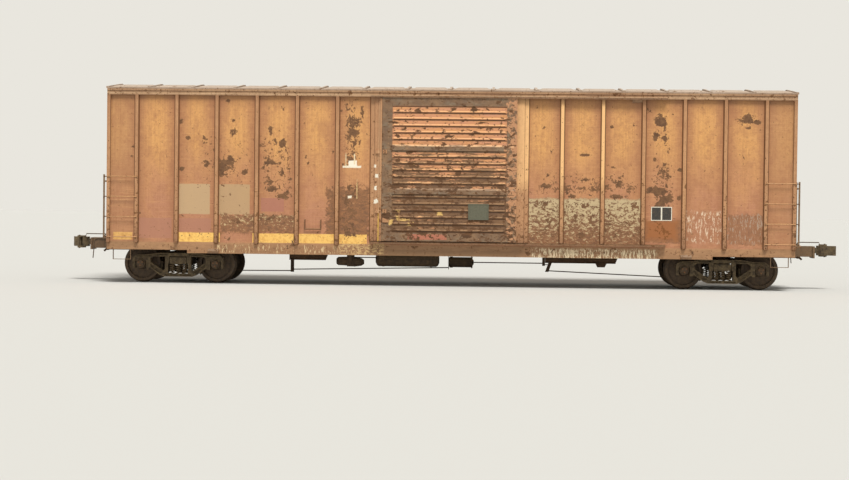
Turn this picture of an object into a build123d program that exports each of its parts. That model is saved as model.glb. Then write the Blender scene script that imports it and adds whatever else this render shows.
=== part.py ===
from build123d import *
import math
import os

# Exterior-post railroad boxcar, 50 ft 6 in inside, with one 10 ft sliding door on each side.
# Frame: +X along the car, the photographed side faces -Y, +Z up. Millimetres throughout.
# Heights are drawn from the top of rail. Every solid is lifted by the flange height at the end,
# so that the wheel flanges stand on z = 0 under the middle of the car.

# Driving dimensions: carbody
INSIDE_LENGTH = 15392.0
END_WALL_THICKNESS = 76.0
INSIDE_WIDTH = 2896.0
SIDE_WALL_THICKNESS = 25.0
FLOOR_TOP = 1100.0
FLOOR_THICKNESS = 55.0
EAVE_TOP = 4432.0
PEAK_TOP = 4560.0
ROOF_THICKNESS = 30.0
ROOF_EAVE_OVERHANG = 2.0
ROOF_END_OVERHANG = 22.0
CORNER_OVERHANG = 18.0
FUSED_DEPTH = 1.0
PLATE_THICKNESS = 10.0

# Roof sheet
ROOF_PANELS = 16
ROOF_CAP_WIDTH = 58.0
ROOF_CAP_HEIGHT = 37.0
ROOF_CAP_HEIGHT_AT_EAVE = 15.0
ROOF_CAP_ROOT = 5.0
ROOF_PAD_RISE = 24.0
ROOF_PAD_ROOT = 3.0
ROOF_PAD_MARGIN = 95.0
ROOF_PAD_SLOPE = 60.0
ROOF_PAD_FROM_RIDGE = 130.0
ROOF_PAD_FROM_EAVE = 190.0

# Exterior posts
POST_DEPTH = 60.0
POST_FACE = 70.0
POST_BASE = 122.0
POST_PITCH = 914.4
POST_FOOT = 925.0
POST_FOOT_HEIGHT = 36.0
POST_FOOT_PROUD = 14.0
POST_FOOT_LIP = 12.0
POST_FOOT_LAP = 4.0
LADDER_BAY = 678.0
CORNER_POST_WIDTH = 75.0

# Doorway and sliding door
DOORWAY_WIDTH = 2946.0
DOOR_OVERLAP = 47.0
DOOR_BOTTOM = 1013.0
DOOR_TOP = 4258.0
DOOR_GAP = 8.0
DOOR_SKIN = 30.0
DOOR_FRAME_PROUD = 14.0
DOOR_BAND_PROUD = 24.0
DOOR_STILE = 232.0
DOOR_TOP_RAIL = 196.0
DOOR_BOTTOM_RAIL = 190.0
DOOR_RIB_PROUD = 17.0
DOOR_RIB_BASE = 54.0
DOOR_RIB_CREST = 20.0
DOOR_RIB_PITCH = 152.0
DOOR_RIB_END_GAP = 12.0
DOOR_RIB_END_SLOPE = 30.0
DOOR_TRAVEL = 3100.0
DOOR_PULL_X = -1120.0
DOOR_PULL_Z = (1420.0, 1670.0)
DOOR_PULL_RADIUS = 8.0
DOOR_PULL_STANDOFF = 32.0
DOOR_PULL_BEND = 12.0
DOOR_LOCK_Z = (1679.0, 3025.0)
DOOR_LOCK_WIDTH = 90.0
DOOR_LOCK_HEIGHT = 84.0
DOOR_LOCK_PROUD = 20.0
DOOR_LOCK_INSET = 22.5
DOOR_LEVER_LENGTH = 144.0
DOOR_LEVER_BELOW_LOCK = 252.0
DOOR_LEVER_ROOT_HEIGHT = 110.0
DOOR_LEVER_TIP_HEIGHT = 50.0
DOOR_BAND_HEIGHT = 150.0
DOOR_BAND_UNDERCUT = 14.0
DOOR_BAND_FALL = 40.0
DOOR_BAND_LAP = 8.0
DOOR_BAND_END_INSET = 58.0
DOOR_POST_FACE = 217.0
DOOR_POST_FLANGE = 116.0
DOOR_POST_FLANGE_DEPTH = 38.0
DOOR_POST_BEVEL = 8.0
DOOR_POST_TOE = 24.0
DOOR_STOP_THICKNESS = 50.0
DOOR_STOP_GAP = 6.0

# Door tracks
TRACK_LEDGE_BOTTOM = 946.0
TRACK_LEDGE_THICKNESS = 12.0
TRACK_LEDGE_OVERHANG = 20.0
TRACK_LEG_HEIGHT = 54.0
TRACK_LEG_THICKNESS = 10.0
TRACK_RAIL_HEIGHT = 27.0
TRACK_RAIL_THICKNESS = 12.0
TRACK_OVERRUN = 260.0
GUIDE_THICKNESS = 8.0
GUIDE_TOP_GAP = 22.0
GUIDE_LIP = 34.0
ROLLER_RADIUS = 45.0
ROLLER_WIDTH = 24.0
ROLLER_INSET = 330.0
RUNNING_GAP = 0.3

# Side sills and top chords
SILL_BOTTOM_END = 745.0
SILL_BOTTOM_MIDDLE = 675.0
SILL_DEEP_INSET = 278.0
SILL_WEB = 12.0
SILL_FLANGE_WIDTH = 95.0
SILL_FLANGE_THICKNESS = 12.0
JACK_PAD_INSET = 873.0
JACK_PAD_LENGTH = 240.0
JACK_PAD_DEPTH = 44.0
JACK_PAD_HEIGHT = 100.0
CHORD_BOTTOM = 4262.0
CHORD_LEDGE = 40.0
CHORD_RECESS = 8.0
CHORD_CAP_HEIGHT = 46.0
CHORD_CAP_OVERHANG = 5.0
CHORD_BEVEL = 8.0

# Underframe
SILL_WIDTH = 350.0
SILL_PLATE = 14.0
SILL_BOTTOM = 735.0
SILL_FOOT = 60.0
SILL_CLOSED_FROM_TRUCK = 260.0
CENTRE_FILLER_HALF = 150.0
STRINGER_HEIGHT = 45.0
STRINGER_WIDTH = 70.0
STRINGER_Y = 760.0
CROSSBEARER_WIDTH = 120.0
CROSSBEARER_PITCH = 1220.0
CROSSBEARER_TO_TRUCK = 1300.0
CROSSBEARER_DEPTH_INNER = 240.0
CROSSBEARER_DEPTH_OUTER = 130.0
BODY_BOLSTER_WIDTH = 300.0
BODY_BOLSTER_PLATE = 18.0
BODY_BOLSTER_DEPTH_OUTER = 140.0
BODY_BOLSTER_FLAT = 130.0
BODY_SIDE_BEARING_LENGTH = 180.0
BODY_SIDE_BEARING_WIDTH = 120.0
CENTRE_PLATE_CONE = 42.0
CENTRE_PLATE_RIM_CLEAR = 12.0
END_SILL_THICKNESS = 40.0
END_SILL_BOTTOM = 745.0
STRIKER_LENGTH = 668.0
STRIKER_WIDTH = 390.0
STRIKER_BELOW = 145.0
STRIKER_MOUTH_HALF = 150.0
STRIKER_MOUTH_ABOVE = 12.0
STRIKER_FLANGE = 32.0
STRIKER_FLANGE_LENGTH = 46.0
PLATFORM_HALF = 760.0
PLATFORM_DEPTH = 250.0
PLATFORM_THICKNESS = 32.0
PLATFORM_BELOW_FLOOR = 38.0
PLATFORM_BRACKET_Y = (330.0, 690.0)
PLATFORM_BRACKET_DEPTH = 175.0
PLATFORM_BRACKET_INSET = 20.0

# Trucks and wheelsets
TRUCK_INSET = 1549.0
WHEELBASE = 1727.0
WHEEL_RADIUS = 419.1
FLANGE_HEIGHT = 25.4
WHEEL_BACK_TO_BACK = 1353.0
WHEEL_RIM_WIDTH = 139.7
TREAD_FALL = 5.0
RIM_INNER_RADIUS = 350.0
RIM_FILLET = 6.0
FLANGE_TIP = (10.0, 18.0)
FLANGE_ROOT = 34.0
PLATE_AT_RIM = 30.0
PLATE_FRONT_DISH = 36.0
HUB_RADIUS = 128.0
HUB_FILLET = 18.0
HUB_PROUD = 15.0
WHEEL_SEAT_RADIUS = 97.0
AXLE_RADIUS = 80.0
JOURNAL_RADIUS = 72.0
JOURNAL_CENTRES = 1981.0
BEARING_RADIUS = 110.0
BEARING_WIDTH = 170.0
BEARING_CLEARANCE = 0.1
BEARING_CHAMFER = (22.0, 14.0)
BEARING_LIP = 6.0
AXLE_CAP_RADIUS = 84.0
AXLE_CAP_THICKNESS = 28.0
AXLE_CAP_CHAMFER = 10.0
AXLE_BODY_TAPER = 6.0
AXLE_SEAT_TAPER = (60.0, 12.0)
ADAPTER_THICKNESS = 20.0
ADAPTER_INSET = 26.0
ADAPTER_SKIRT = 46.0
JAW_CLEARANCE = 14.0
SIDE_FRAME_THICKNESS = 150.0
SIDE_FRAME_WEB = 60.0
SIDE_FRAME_BOTTOM = 118.0
SPRING_SEAT = 186.0
BOLSTER_END_BOTTOM = 410.0
BOLSTER_END_TOP = 560.0
BOLSTER_HALF_WIDTH = 190.0
BOLSTER_TOP = 634.0
BOLSTER_END_INSET = 8.0
BOLSTER_SHOULDER_GAP = 30.0
BOLSTER_SHOULDER = 100.0
BOLSTER_BELLY = 40.0
BOLSTER_BELLY_HALF = 320.0
BOLSTER_HOLE_Y = 560.0
BOLSTER_HOLE_HALF = 150.0
BOLSTER_HOLE_FLOOR = 45.0
BOLSTER_HOLE_ROOF = 75.0
CENTRE_PLATE_RADIUS = 178.0
CENTRE_PLATE_CLEARANCE = 2.5
BOWL_WALL = 34.0
BOWL_HEIGHT = 30.0
BOWL_DRAFT = 8.0
SIDE_BEARING_Y = 635.0
SIDE_BEARING_GAP = 8.0
SIDE_BEARING_LENGTH = 220.0
SIDE_BEARING_WIDTH = 100.0
SPRING_RADIUS = 68.0
SPRING_WIRE_RADIUS = 12.0
SPRING_PITCH = 146.0
SPRING_TURNS = 5
SPRING_END_GROUND = 4.0
BRAKE_SHOE_GAP = 6.0
BRAKE_BEAM_DROP = 185.0
BRAKE_SHOE_THICKNESS = 46.0
BRAKE_SHOE_WIDTH = 84.0
BRAKE_SHOE_ANGLES = (-4.0, 34.0)
BRAKE_HEAD_OFFSET = 12.0
BRAKE_BEAM_THICKNESS = 64.0
BRAKE_BEAM_DEPTH = 52.0
BRAKE_STRUT_WIDTH = 44.0
BRAKE_STRUT_DEPTH = 32.0
BRAKE_STRUT_END_GAP = 14.0

# Couplers, ladders, steps and brake gear
COUPLER_REACH = 1078.0
COUPLER_HEIGHT = 876.0
COUPLER_HEAD_HALF = 112.0
KNUCKLE_HALF = 106.0
KNUCKLE_PIN_RADIUS = 21.0
SHANK_WIDTH = 160.0
SHANK_HEIGHT = 130.0
SHANK_INSIDE = 300.0
HEAD_LUG = 30.0
PIN_PROUD = 14.0
LEVER_BAR_RADIUS = 11.0
LEVER_BAR_OUT = 330.0
LEVER_BAR_DROP = 85.0
LEVER_BAR_LIFT = 72.0
LEVER_BAR_END_Y = 1290.0
LEVER_HANDLE_LENGTH = 430.0
LEVER_HANDLE_SPREAD = 40.0
LEVER_BAR_BEND = 26.0
LEVER_EYE_BACK = 270.0
LEVER_EYE_Y = 40.0
LEVER_BRACKET_WIDTH = 16.0
LEVER_BRACKET_GAP = 75.0
LEVER_BRACKET_BELOW = 30.0
LEVER_BRACKET_ABOVE = 18.0
RUNG_RADIUS = 10.0
RUNG_FIRST = 1030.0
RUNG_PITCH = 457.0
RUNG_COUNT = 4
RUNG_FOOT = 8.0
LADDER_STANDOFF = 76.0
LADDER_STILE_INSET = 18.0
LADDER_WIDTH = 420.0
LADDER_STILE_DEPTH = 40.0
LADDER_STILE_THICKNESS = 10.0
LADDER_TOP_ALLOWANCE = 45.0
LADDER_BRACKET_HEIGHT = 36.0
RUNG_END = 20.0
RUNG_FOOT_WIDTH = 52.0
RUNG_FOOT_HEIGHT = 48.0
RUNG_CLEARANCE = 2.0
STEP_INSET = 140.0
STEP_WIDTH = 410.0
STEP_DROP = 232.0
STEP_BAR = 12.0
STEP_FOOT_HEIGHT = 90.0
STEP_BAR_WIDTH = 50.0
END_RIB_COUNT = 11
END_RIB_MARGIN = 105.0
END_RIB_RADIUS = 58.0
END_RIB_PROUD = 40.0
END_RIB_END_RADIUS = 24.0
END_RIB_END_MARGIN = 70.0
END_RIB_TAPER = 490.0
END_RIB_ROOT = 20.0
BRAKE_WHEEL_RADIUS = 280.0
BRAKE_WHEEL_RIM = 14.0
BRAKE_WHEEL_SPOKES = 5
BRAKE_WHEEL_SPOKE_RADIUS = 8.0
BRAKE_WHEEL_STANDOFF = 62.0
BRAKE_WHEEL_DISH = 22.0
BRAKE_HUB_RADIUS = 34.0
BRAKE_HUB_TIP_RADIUS = 26.0
BRAKE_HUB_LENGTH = 70.0
BRAKE_WHEEL_Y = 560.0
BRAKE_WHEEL_Z = 2230.0
BRAKE_HOUSING_HALF = 150.0
BRAKE_HOUSING_TOP = 150.0
BRAKE_HOUSING_BOTTOM = 240.0
BRAKE_HOUSING_DEPTH = 105.0
BRAKE_STEP_Z = 1350.0
BRAKE_STEP_HALF = 330.0
BRAKE_STEP_REACH = 320.0
BRAKE_STEP_ROD_GAP = 6.0
BRAKE_STEP_BRACKET_INSET = 40.0
BRAKE_STEP_BRACKET_DEPTH = 60.0

# Brake gear under the floor
LEVER_WEB_Y = 114.0
LEVER_THICKNESS = 25.0
LEVER_WIDTH = 80.0
CARRIER_PLATE = 12.0
CARRIER_BOTTOM = 510.0
CARRIER_LEFT_X = (-3760.0, -2815.0)
CARRIER_RIGHT_X = (2222.0, 3945.0)
CARRIER_END_SLOPE = 90.0
FULCRUM_X = (3390.0, 3650.0)
FULCRUM_BOTTOM = 424.0
FULCRUM_TAPER = 45.0
LEFT_LEVER_X = -3690.0
LEFT_LEVER_BOTTOM = 225.0
RIGHT_LEVER_TOP = (2385.0, 640.0)
RIGHT_LEVER_FOOT = (2265.0, 300.0)
HANGER_X = 2188.0
HANGER_BOTTOM = 440.0
HANGER_WIDTH = 64.0
LINK_RADIUS = 9.6
EYE_ABOVE_FOOT = 28.0
EYE_PITCH = 34.0
ROD_RADIUS = 12.0
ROD_END_TO_TRUCK = 523.0
LEFT_ROD_FALL = 14.0
MIDDLE_ROD_RISE = 84.0
RIGHT_ROD_FALL = 138.0
CYLINDER_RADIUS = 130.0
CYLINDER_X = (-20.0, 560.0)
CYLINDER_Z = 500.0
CYLINDER_HEAD_LENGTH = 90.0
CYLINDER_HEAD_CHAMFER = (30.0, 26.0)
CYLINDER_BARREL_STEP = 12.0
CYLINDER_FLANGE_PROUD = 8.0
CYLINDER_FLANGE_THICKNESS = 26.0
CYLINDER_NOSE_LENGTH = 34.0
CYLINDER_NOSE_RADII = (91.0, 39.0)
CYLINDER_HANGER_WIDTH = 150.0
CYLINDER_HANGER_BELOW = 170.0
RESERVOIR_RADIUS = 160.0
RESERVOIR_X = (-1700.0, -230.0)
RESERVOIR_Z = 560.0
RESERVOIR_STRAP_X = (-1520.0, -420.0)
STRAP_WIDTH = 50.0
STRAP_THICKNESS = 6.0
STRAP_SEAT = 2.0
HANGER_BAR = 12.0
VALVE_X = -2280.0
VALVE_Z = 510.0
VALVE_BRACKET = (160.0, 220.0, 260.0)
VALVE_BRACKET_ABOVE = 140.0
VALVE_BAR_WIDTH = 80.0
VALVE_ARM_HEIGHT = 60.0
VALVE_PIPE_ABOVE = 90.0
EMERGENCY_PORTION_DROP = 16.0
PIPE_RADIUS = 17.0
PIPE_Y = 280.0
COCK_LENGTH = 70.0
COCK_RADIUS = 30.0
COCK_STEM_FROM_END = 40.0
COCK_STEM_RADIUS = 18.0
COCK_STEM_HEIGHT = 62.0
COCK_HANDLE_RADIUS = 8.0
COCK_HANDLE = (-60.0, 20.0)
COCK_NOSE_FROM_END = 60.0
COCK_NOSE_RADIUS = 24.0
COCK_NOSE_REACH = 58.0
COCK_NOSE_FALL = 52.0

# Worked out from the driving dimensions
INNER_X = INSIDE_LENGTH / 2
END_FACE_X = INNER_X + END_WALL_THICKNESS
CORNER_X = END_FACE_X + CORNER_OVERHANG
INNER_Y = INSIDE_WIDTH / 2
SHEET_Y = INNER_Y + SIDE_WALL_THICKNESS
POST_Y = SHEET_Y + POST_DEPTH
FLOOR_BOTTOM = FLOOR_TOP - FLOOR_THICKNESS
DOORWAY_X = DOORWAY_WIDTH / 2
DOOR_HALF = DOORWAY_X + DOOR_OVERLAP
DOOR_INNER_Y = POST_Y + DOOR_GAP
DOOR_SKIN_Y = DOOR_INNER_Y + DOOR_SKIN
DOOR_FRAME_Y = DOOR_SKIN_Y + DOOR_FRAME_PROUD
DOOR_BAND_Y = DOOR_SKIN_Y + DOOR_BAND_PROUD
TRACK_START_X = -DOOR_HALF - TRACK_OVERRUN
TRACK_END_X = DOOR_HALF + DOOR_TRAVEL + TRACK_OVERRUN
TRACK_LEG_TOP = TRACK_LEDGE_BOTTOM + TRACK_LEG_HEIGHT
TRACK_RAIL_TOP = TRACK_LEDGE_BOTTOM + TRACK_LEDGE_THICKNESS + TRACK_RAIL_HEIGHT
ROLLER_Y = DOOR_INNER_Y + DOOR_SKIN / 2
CHORD_CAP_Y = POST_Y + CHORD_CAP_OVERHANG
ROOF_EDGE_Y = CHORD_CAP_Y + ROOF_EAVE_OVERHANG
ROOF_SLOPE = (PEAK_TOP - EAVE_TOP) / ROOF_EDGE_Y
CROSSBEARER_TOP = FLOOR_BOTTOM - STRINGER_HEIGHT
LAST_POST_X = CORNER_X - LADDER_BAY
DOOR_POST_END_X = DOORWAY_X + DOOR_POST_FACE + DOOR_POST_FLANGE
POST_COUNT = int((LAST_POST_X - DOOR_POST_END_X - POST_BASE) / POST_PITCH) + 1
TRUCK_X = END_FACE_X - TRUCK_INSET
SILL_DEEP_HALF = TRUCK_X - SILL_DEEP_INSET
JACK_PAD_X = TRUCK_X - JACK_PAD_INSET
CROSSBEARER_COUNT = int((TRUCK_X - CROSSBEARER_TO_TRUCK) / CROSSBEARER_PITCH)
PULLING_FACE = END_FACE_X + COUPLER_REACH
STRIKER_FACE = END_FACE_X + STRIKER_LENGTH
STRIKER_TOP = FLOOR_BOTTOM - PLATFORM_BELOW_FLOOR - PLATFORM_THICKNESS
DECK_TOP = STRIKER_TOP + PLATFORM_THICKNESS
STEP_LEGS_X = (CORNER_X - STEP_INSET - STEP_WIDTH, CORNER_X - STEP_INSET)
LADDER_STILE_Y = (INNER_Y - LADDER_STILE_INSET - LADDER_WIDTH, INNER_Y - LADDER_STILE_INSET)
RIB_CREST_X = END_FACE_X + END_RIB_PROUD
RESERVOIR_Y = STRINGER_Y - RESERVOIR_RADIUS
LEVER_Y = -LEVER_WEB_Y + LEVER_THICKNESS / 2
AXLE_X = WHEELBASE / 2
JOURNAL_Y = JOURNAL_CENTRES / 2
WHEEL_BACK_Y = WHEEL_BACK_TO_BACK / 2
ADAPTER_TOP = WHEEL_RADIUS + BEARING_RADIUS + ADAPTER_THICKNESS
JAW_HALF = BEARING_RADIUS + JAW_CLEARANCE
CENTRE_PLATE_BOTTOM = BOLSTER_TOP + RUNNING_GAP
HALF_TURN = Rot(0, 0, 180)


def roof_underside(y):
    """Height of the roof sheet's underside at a distance y from the centre line."""
    return PEAK_TOP - ROOF_THICKNESS - ROOF_SLOPE * abs(y)


def block(x, y, z):
    """A box from three (low, high) pairs."""
    size = [abs(b - a) for a, b in (x, y, z)]
    centre = [(a + b) / 2 for a, b in (x, y, z)]
    return Pos(*centre) * Box(*size)


def prism_x(points, x0, x1):
    """An outline of (y, z) points, run along X from x0 to x1."""
    face = make_face(Polyline(*[(x0, y, z) for y, z in points], close=True))
    return extrude(face, amount=x1 - x0, dir=(1, 0, 0))


def prism_y(points, y0, y1):
    """An outline of (x, z) points, run along Y from y0 to y1."""
    face = make_face(Polyline(*[(x, y0, z) for x, z in points], close=True))
    return extrude(face, amount=y1 - y0, dir=(0, 1, 0))


def prism_z(points, z0, z1):
    """An outline of (x, y) points, run along Z from z0 to z1."""
    face = make_face(Polyline(*[(x, y, z0) for x, y in points], close=True))
    return extrude(face, amount=z1 - z0, dir=(0, 0, 1))


def rod(start, end, radius):
    """A round bar between two points."""
    line = Vector(*end) - Vector(*start)
    plane = Plane(origin=start, z_dir=line)
    return Solid.make_cylinder(radius, line.length, plane)


def bent_bar(points, radius, bend):
    """A round bar along straight runs with bends of one radius."""
    path = FilletPolyline(*points, radius=bend)
    start = Plane(origin=path @ 0, z_dir=path % 0)
    return sweep(start * Circle(radius), path=path)


def turned_y(points, centre):
    """A revolve about a line along Y through centre, from (y, radius) points."""
    cx, cy, cz = centre
    face = make_face(Polyline(*[(cx + r, cy + y, cz) for y, r in points], close=True))
    return revolve(face, Axis((cx, cy, cz), (0, 1, 0)))


def turned_z(points, centre):
    """A revolve about a line along Z through centre, from (radius, z) points."""
    cx, cy, cz = centre
    face = make_face(Polyline(*[(cx + r, cy, cz + z) for r, z in points], close=True))
    return revolve(face, Axis((cx, cy, cz), (0, 0, 1)))


def turned_x(points, centre):
    """A revolve about a line along X through centre, from (x, radius) points."""
    cx, cy, cz = centre
    face = make_face(Polyline(*[(cx + x, cy, cz + r) for x, r in points], close=True))
    return revolve(face, Axis((cx, cy, cz), (1, 0, 0)))


def solids_of(shapes):
    """All the solids in a list of shapes, as a flat list."""
    found = []
    for shape in shapes:
        found.extend(shape.solids())
    return found


def both_ends(shape):
    """A piece and its twin, half a turn round the car's middle."""
    return [shape, HALF_TURN * shape]


def mirrored(shape, plane):
    """A piece and its mirror image."""
    return [shape, mirror(shape, plane)]


# Side walls, posts, sills, chords and tracks


def side_wall():
    """The two flat sheets of the near side, one each side of the doorway."""
    top = CHORD_BOTTOM + CHORD_LEDGE
    sheets = []
    for side in (-1, 1):
        x = sorted((side * DOORWAY_X, side * CORNER_X))
        sheets.append(block(x, (-SHEET_Y, -INNER_Y), (FLOOR_BOTTOM, top)))
    return sheets


def post_foot(x):
    """Where a post on the near side ends: on the lower track where the track passes it."""
    on_track = TRACK_START_X < x + POST_BASE / 2 and x - POST_BASE / 2 < TRACK_END_X
    return TRACK_LEG_TOP if on_track else POST_FOOT


def post_foot_plate(x, width):
    """The little ledge that closes a post's foot on the near side."""
    y = -POST_Y - POST_FOOT_PROUD
    low, top = POST_FOOT - POST_FOOT_HEIGHT, POST_FOOT + POST_FOOT_LAP
    outline = [
        (-SHEET_Y, low),
        (y + POST_FOOT_HEIGHT, low),
        (y, top - POST_FOOT_LIP),
        (y, top),
        (-SHEET_Y, top),
    ]
    return prism_x(outline, x - width / 2, x + width / 2)


def hat_post(x):
    """One pressed hat-section post on the near side."""
    outline = [
        (x - POST_BASE / 2, -SHEET_Y),
        (x - POST_FACE / 2, -POST_Y),
        (x + POST_FACE / 2, -POST_Y),
        (x + POST_BASE / 2, -SHEET_Y),
    ]
    foot = post_foot(x)
    post = prism_z(outline, foot, CHORD_BOTTOM)
    if foot == POST_FOOT:
        post = post + post_foot_plate(x, POST_FACE)
    return post


def door_post(side):
    """The wide stepped post beside the doorway. The closing side carries the stop and keepers."""
    near, step, far = DOORWAY_X, DOORWAY_X + DOOR_POST_FACE, DOOR_POST_END_X
    flange_y = -SHEET_Y - DOOR_POST_FLANGE_DEPTH
    outline = [
        (side * near, -SHEET_Y),
        (side * near, -POST_Y),
        (side * step, -POST_Y),
        (side * (step + DOOR_POST_BEVEL), flange_y),
        (side * (far - DOOR_POST_TOE), flange_y),
        (side * far, -SHEET_Y),
    ]
    post = prism_z(outline, TRACK_LEG_TOP, CHORD_BOTTOM)
    if side < 0:
        edge = -DOOR_HALF - DOOR_STOP_GAP
        back = edge - DOOR_STOP_THICKNESS
        stop = block((back, edge), (-DOOR_FRAME_Y, -POST_Y), (TRACK_LEG_TOP, CHORD_BOTTOM - GUIDE_LIP))
        keepers = [
            block(
                (back - DOOR_LOCK_WIDTH, back),
                (-DOOR_SKIN_Y, -POST_Y),
                (z - DOOR_LOCK_HEIGHT / 2, z + DOOR_LOCK_HEIGHT / 2),
            )
            for z in DOOR_LOCK_Z
        ]
        post = post.fuse(stop, *keepers)
    return post


def corner_post(side):
    """The narrow post at the end of the side."""
    x = sorted((side * (CORNER_X - CORNER_POST_WIDTH), side * CORNER_X))
    post = block(x, (-POST_Y, -SHEET_Y), (POST_FOOT, CHORD_BOTTOM))
    return post + post_foot_plate((x[0] + x[1]) / 2, CORNER_POST_WIDTH)


def side_posts():
    """All posts of the near side."""
    posts = []
    for side in (-1, 1):
        for i in range(POST_COUNT):
            posts.append(hat_post(side * (LAST_POST_X - i * POST_PITCH)))
        posts.append(door_post(side))
        posts.append(corner_post(side))
    return posts


def side_sill():
    """The near side sill: a channel that opens inwards, from end to end."""
    inner = -SHEET_Y + SILL_FLANGE_WIDTH
    outline = [
        (-SHEET_Y, SILL_BOTTOM_END),
        (-SHEET_Y + SILL_WEB, SILL_BOTTOM_END),
        (-SHEET_Y + SILL_WEB, FLOOR_BOTTOM - SILL_FLANGE_THICKNESS),
        (inner, FLOOR_BOTTOM - SILL_FLANGE_THICKNESS),
        (inner, FLOOR_BOTTOM),
        (-SHEET_Y, FLOOR_BOTTOM),
    ]
    return prism_x(outline, -CORNER_X, CORNER_X)


def sill_reinforcement():
    """The flanged plate that deepens the near side sill between the trucks."""
    inner = -SHEET_Y + SILL_FLANGE_WIDTH
    outline = [
        (-SHEET_Y, SILL_BOTTOM_MIDDLE),
        (inner, SILL_BOTTOM_MIDDLE),
        (inner, SILL_BOTTOM_MIDDLE + SILL_FLANGE_THICKNESS),
        (-SHEET_Y + SILL_WEB, SILL_BOTTOM_MIDDLE + SILL_FLANGE_THICKNESS),
        (-SHEET_Y + SILL_WEB, SILL_BOTTOM_END),
        (-SHEET_Y, SILL_BOTTOM_END),
    ]
    return prism_x(outline, -SILL_DEEP_HALF, SILL_DEEP_HALF)


def jacking_pad(side):
    """A wedge-shaped jacking pad on the near side sill, flat below."""
    x = side * JACK_PAD_X
    outer = -SHEET_Y - JACK_PAD_DEPTH
    outline = [
        (-SHEET_Y, SILL_BOTTOM_MIDDLE),
        (outer, SILL_BOTTOM_MIDDLE),
        (outer, SILL_BOTTOM_MIDDLE + JACK_PAD_HEIGHT / 2),
        (-SHEET_Y, SILL_BOTTOM_MIDDLE + JACK_PAD_HEIGHT),
    ]
    return prism_x(outline, x - JACK_PAD_LENGTH / 2, x + JACK_PAD_LENGTH / 2)


def door_threshold():
    """The plate that carries the floor out to the near doorway's posts."""
    return block((-DOORWAY_X, DOORWAY_X), (-POST_Y, -INNER_Y), (FLOOR_BOTTOM, FLOOR_TOP))


def top_chord():
    """The near top chord: a stepped fascia under the roof's edge."""
    ledge_top = CHORD_BOTTOM + CHORD_LEDGE
    cap_bottom = EAVE_TOP - ROOF_THICKNESS - CHORD_CAP_HEIGHT
    outline = [
        (-SHEET_Y, CHORD_BOTTOM),
        (-POST_Y, CHORD_BOTTOM),
        (-POST_Y, ledge_top - CHORD_BEVEL),
        (-POST_Y + CHORD_RECESS, ledge_top),
        (-POST_Y + CHORD_RECESS, cap_bottom - CHORD_BEVEL),
        (-CHORD_CAP_Y, cap_bottom),
        (-CHORD_CAP_Y, roof_underside(CHORD_CAP_Y)),
        (-INNER_Y, roof_underside(INNER_Y)),
        (-INNER_Y, ledge_top),
        (-SHEET_Y, ledge_top),
    ]
    return prism_x(outline, -CORNER_X, CORNER_X)


def lower_track():
    """The near lower door track: an angle on the sill with the rail the rollers run on."""
    ledge_y = DOOR_FRAME_Y + TRACK_LEDGE_OVERHANG
    rail = TRACK_RAIL_THICKNESS / 2
    ledge_top = TRACK_LEDGE_BOTTOM + TRACK_LEDGE_THICKNESS
    outline = [
        (-SHEET_Y, TRACK_LEDGE_BOTTOM),
        (-ledge_y, TRACK_LEDGE_BOTTOM),
        (-ledge_y, ledge_top),
        (-ROLLER_Y - rail, ledge_top),
        (-ROLLER_Y - rail, TRACK_RAIL_TOP),
        (-ROLLER_Y + rail, TRACK_RAIL_TOP),
        (-ROLLER_Y + rail, ledge_top),
        (-SHEET_Y - TRACK_LEG_THICKNESS, ledge_top),
        (-SHEET_Y - TRACK_LEG_THICKNESS, TRACK_LEG_TOP),
        (-SHEET_Y, TRACK_LEG_TOP),
    ]
    return prism_x(outline, TRACK_START_X, TRACK_END_X)


def upper_track():
    """The near upper guide: a shelf over the door's top edge with a lip turned down outside it."""
    lip_y = DOOR_FRAME_Y + DOOR_BAND_PROUD
    shelf = DOOR_TOP + GUIDE_TOP_GAP
    outline = [
        (-POST_Y, shelf),
        (-lip_y + GUIDE_THICKNESS, shelf),
        (-lip_y + GUIDE_THICKNESS, shelf - GUIDE_LIP),
        (-lip_y, shelf - GUIDE_LIP),
        (-lip_y, shelf + GUIDE_THICKNESS),
        (-POST_Y, shelf + GUIDE_THICKNESS),
    ]
    return prism_x(outline, TRACK_START_X, TRACK_END_X)


# Sliding door


def sliding_door():
    """The near door, closed: three ribbed panels in a flat frame, on rollers at its foot."""
    half = DOOR_HALF
    skin = block((-half, half), (-DOOR_SKIN_Y, -DOOR_INNER_Y), (DOOR_BOTTOM, DOOR_TOP))
    inner = half - DOOR_STILE
    frame_y = (-DOOR_FRAME_Y, -DOOR_SKIN_Y + FUSED_DEPTH)
    parts = [
        block((-half, -inner), frame_y, (DOOR_BOTTOM, DOOR_TOP)),
        block((inner, half), frame_y, (DOOR_BOTTOM, DOOR_TOP)),
        block((-half, half), frame_y, (DOOR_TOP - DOOR_TOP_RAIL, DOOR_TOP)),
        block((-half, half), frame_y, (DOOR_BOTTOM, DOOR_BOTTOM + DOOR_BOTTOM_RAIL)),
    ]
    panel_bottom = DOOR_BOTTOM + DOOR_BOTTOM_RAIL
    panel_top = DOOR_TOP - DOOR_TOP_RAIL
    # Panels as shares of the height between the rails: (bottom, top, ribs)
    panels = ((0.0, 0.326, 6), (0.326, 0.669, 5), (0.669, 1.0, 5))
    height = panel_top - panel_bottom
    for low, high, ribs in panels:
        z0, z1 = panel_bottom + low * height, panel_bottom + high * height
        if low > 0:
            parts.append(door_band(z0))
        middle = (z0 + z1) / 2
        if low > 0:
            middle += DOOR_BAND_HEIGHT / 4
        if high < 1:
            middle -= DOOR_BAND_HEIGHT / 4
        first = middle - (ribs - 1) * DOOR_RIB_PITCH / 2
        for i in range(ribs):
            parts.append(door_rib(first + i * DOOR_RIB_PITCH))
    for side in (-1, 1):
        parts.append(door_roller(side * (half - ROLLER_INSET)))
    return skin.fuse(*parts)


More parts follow.
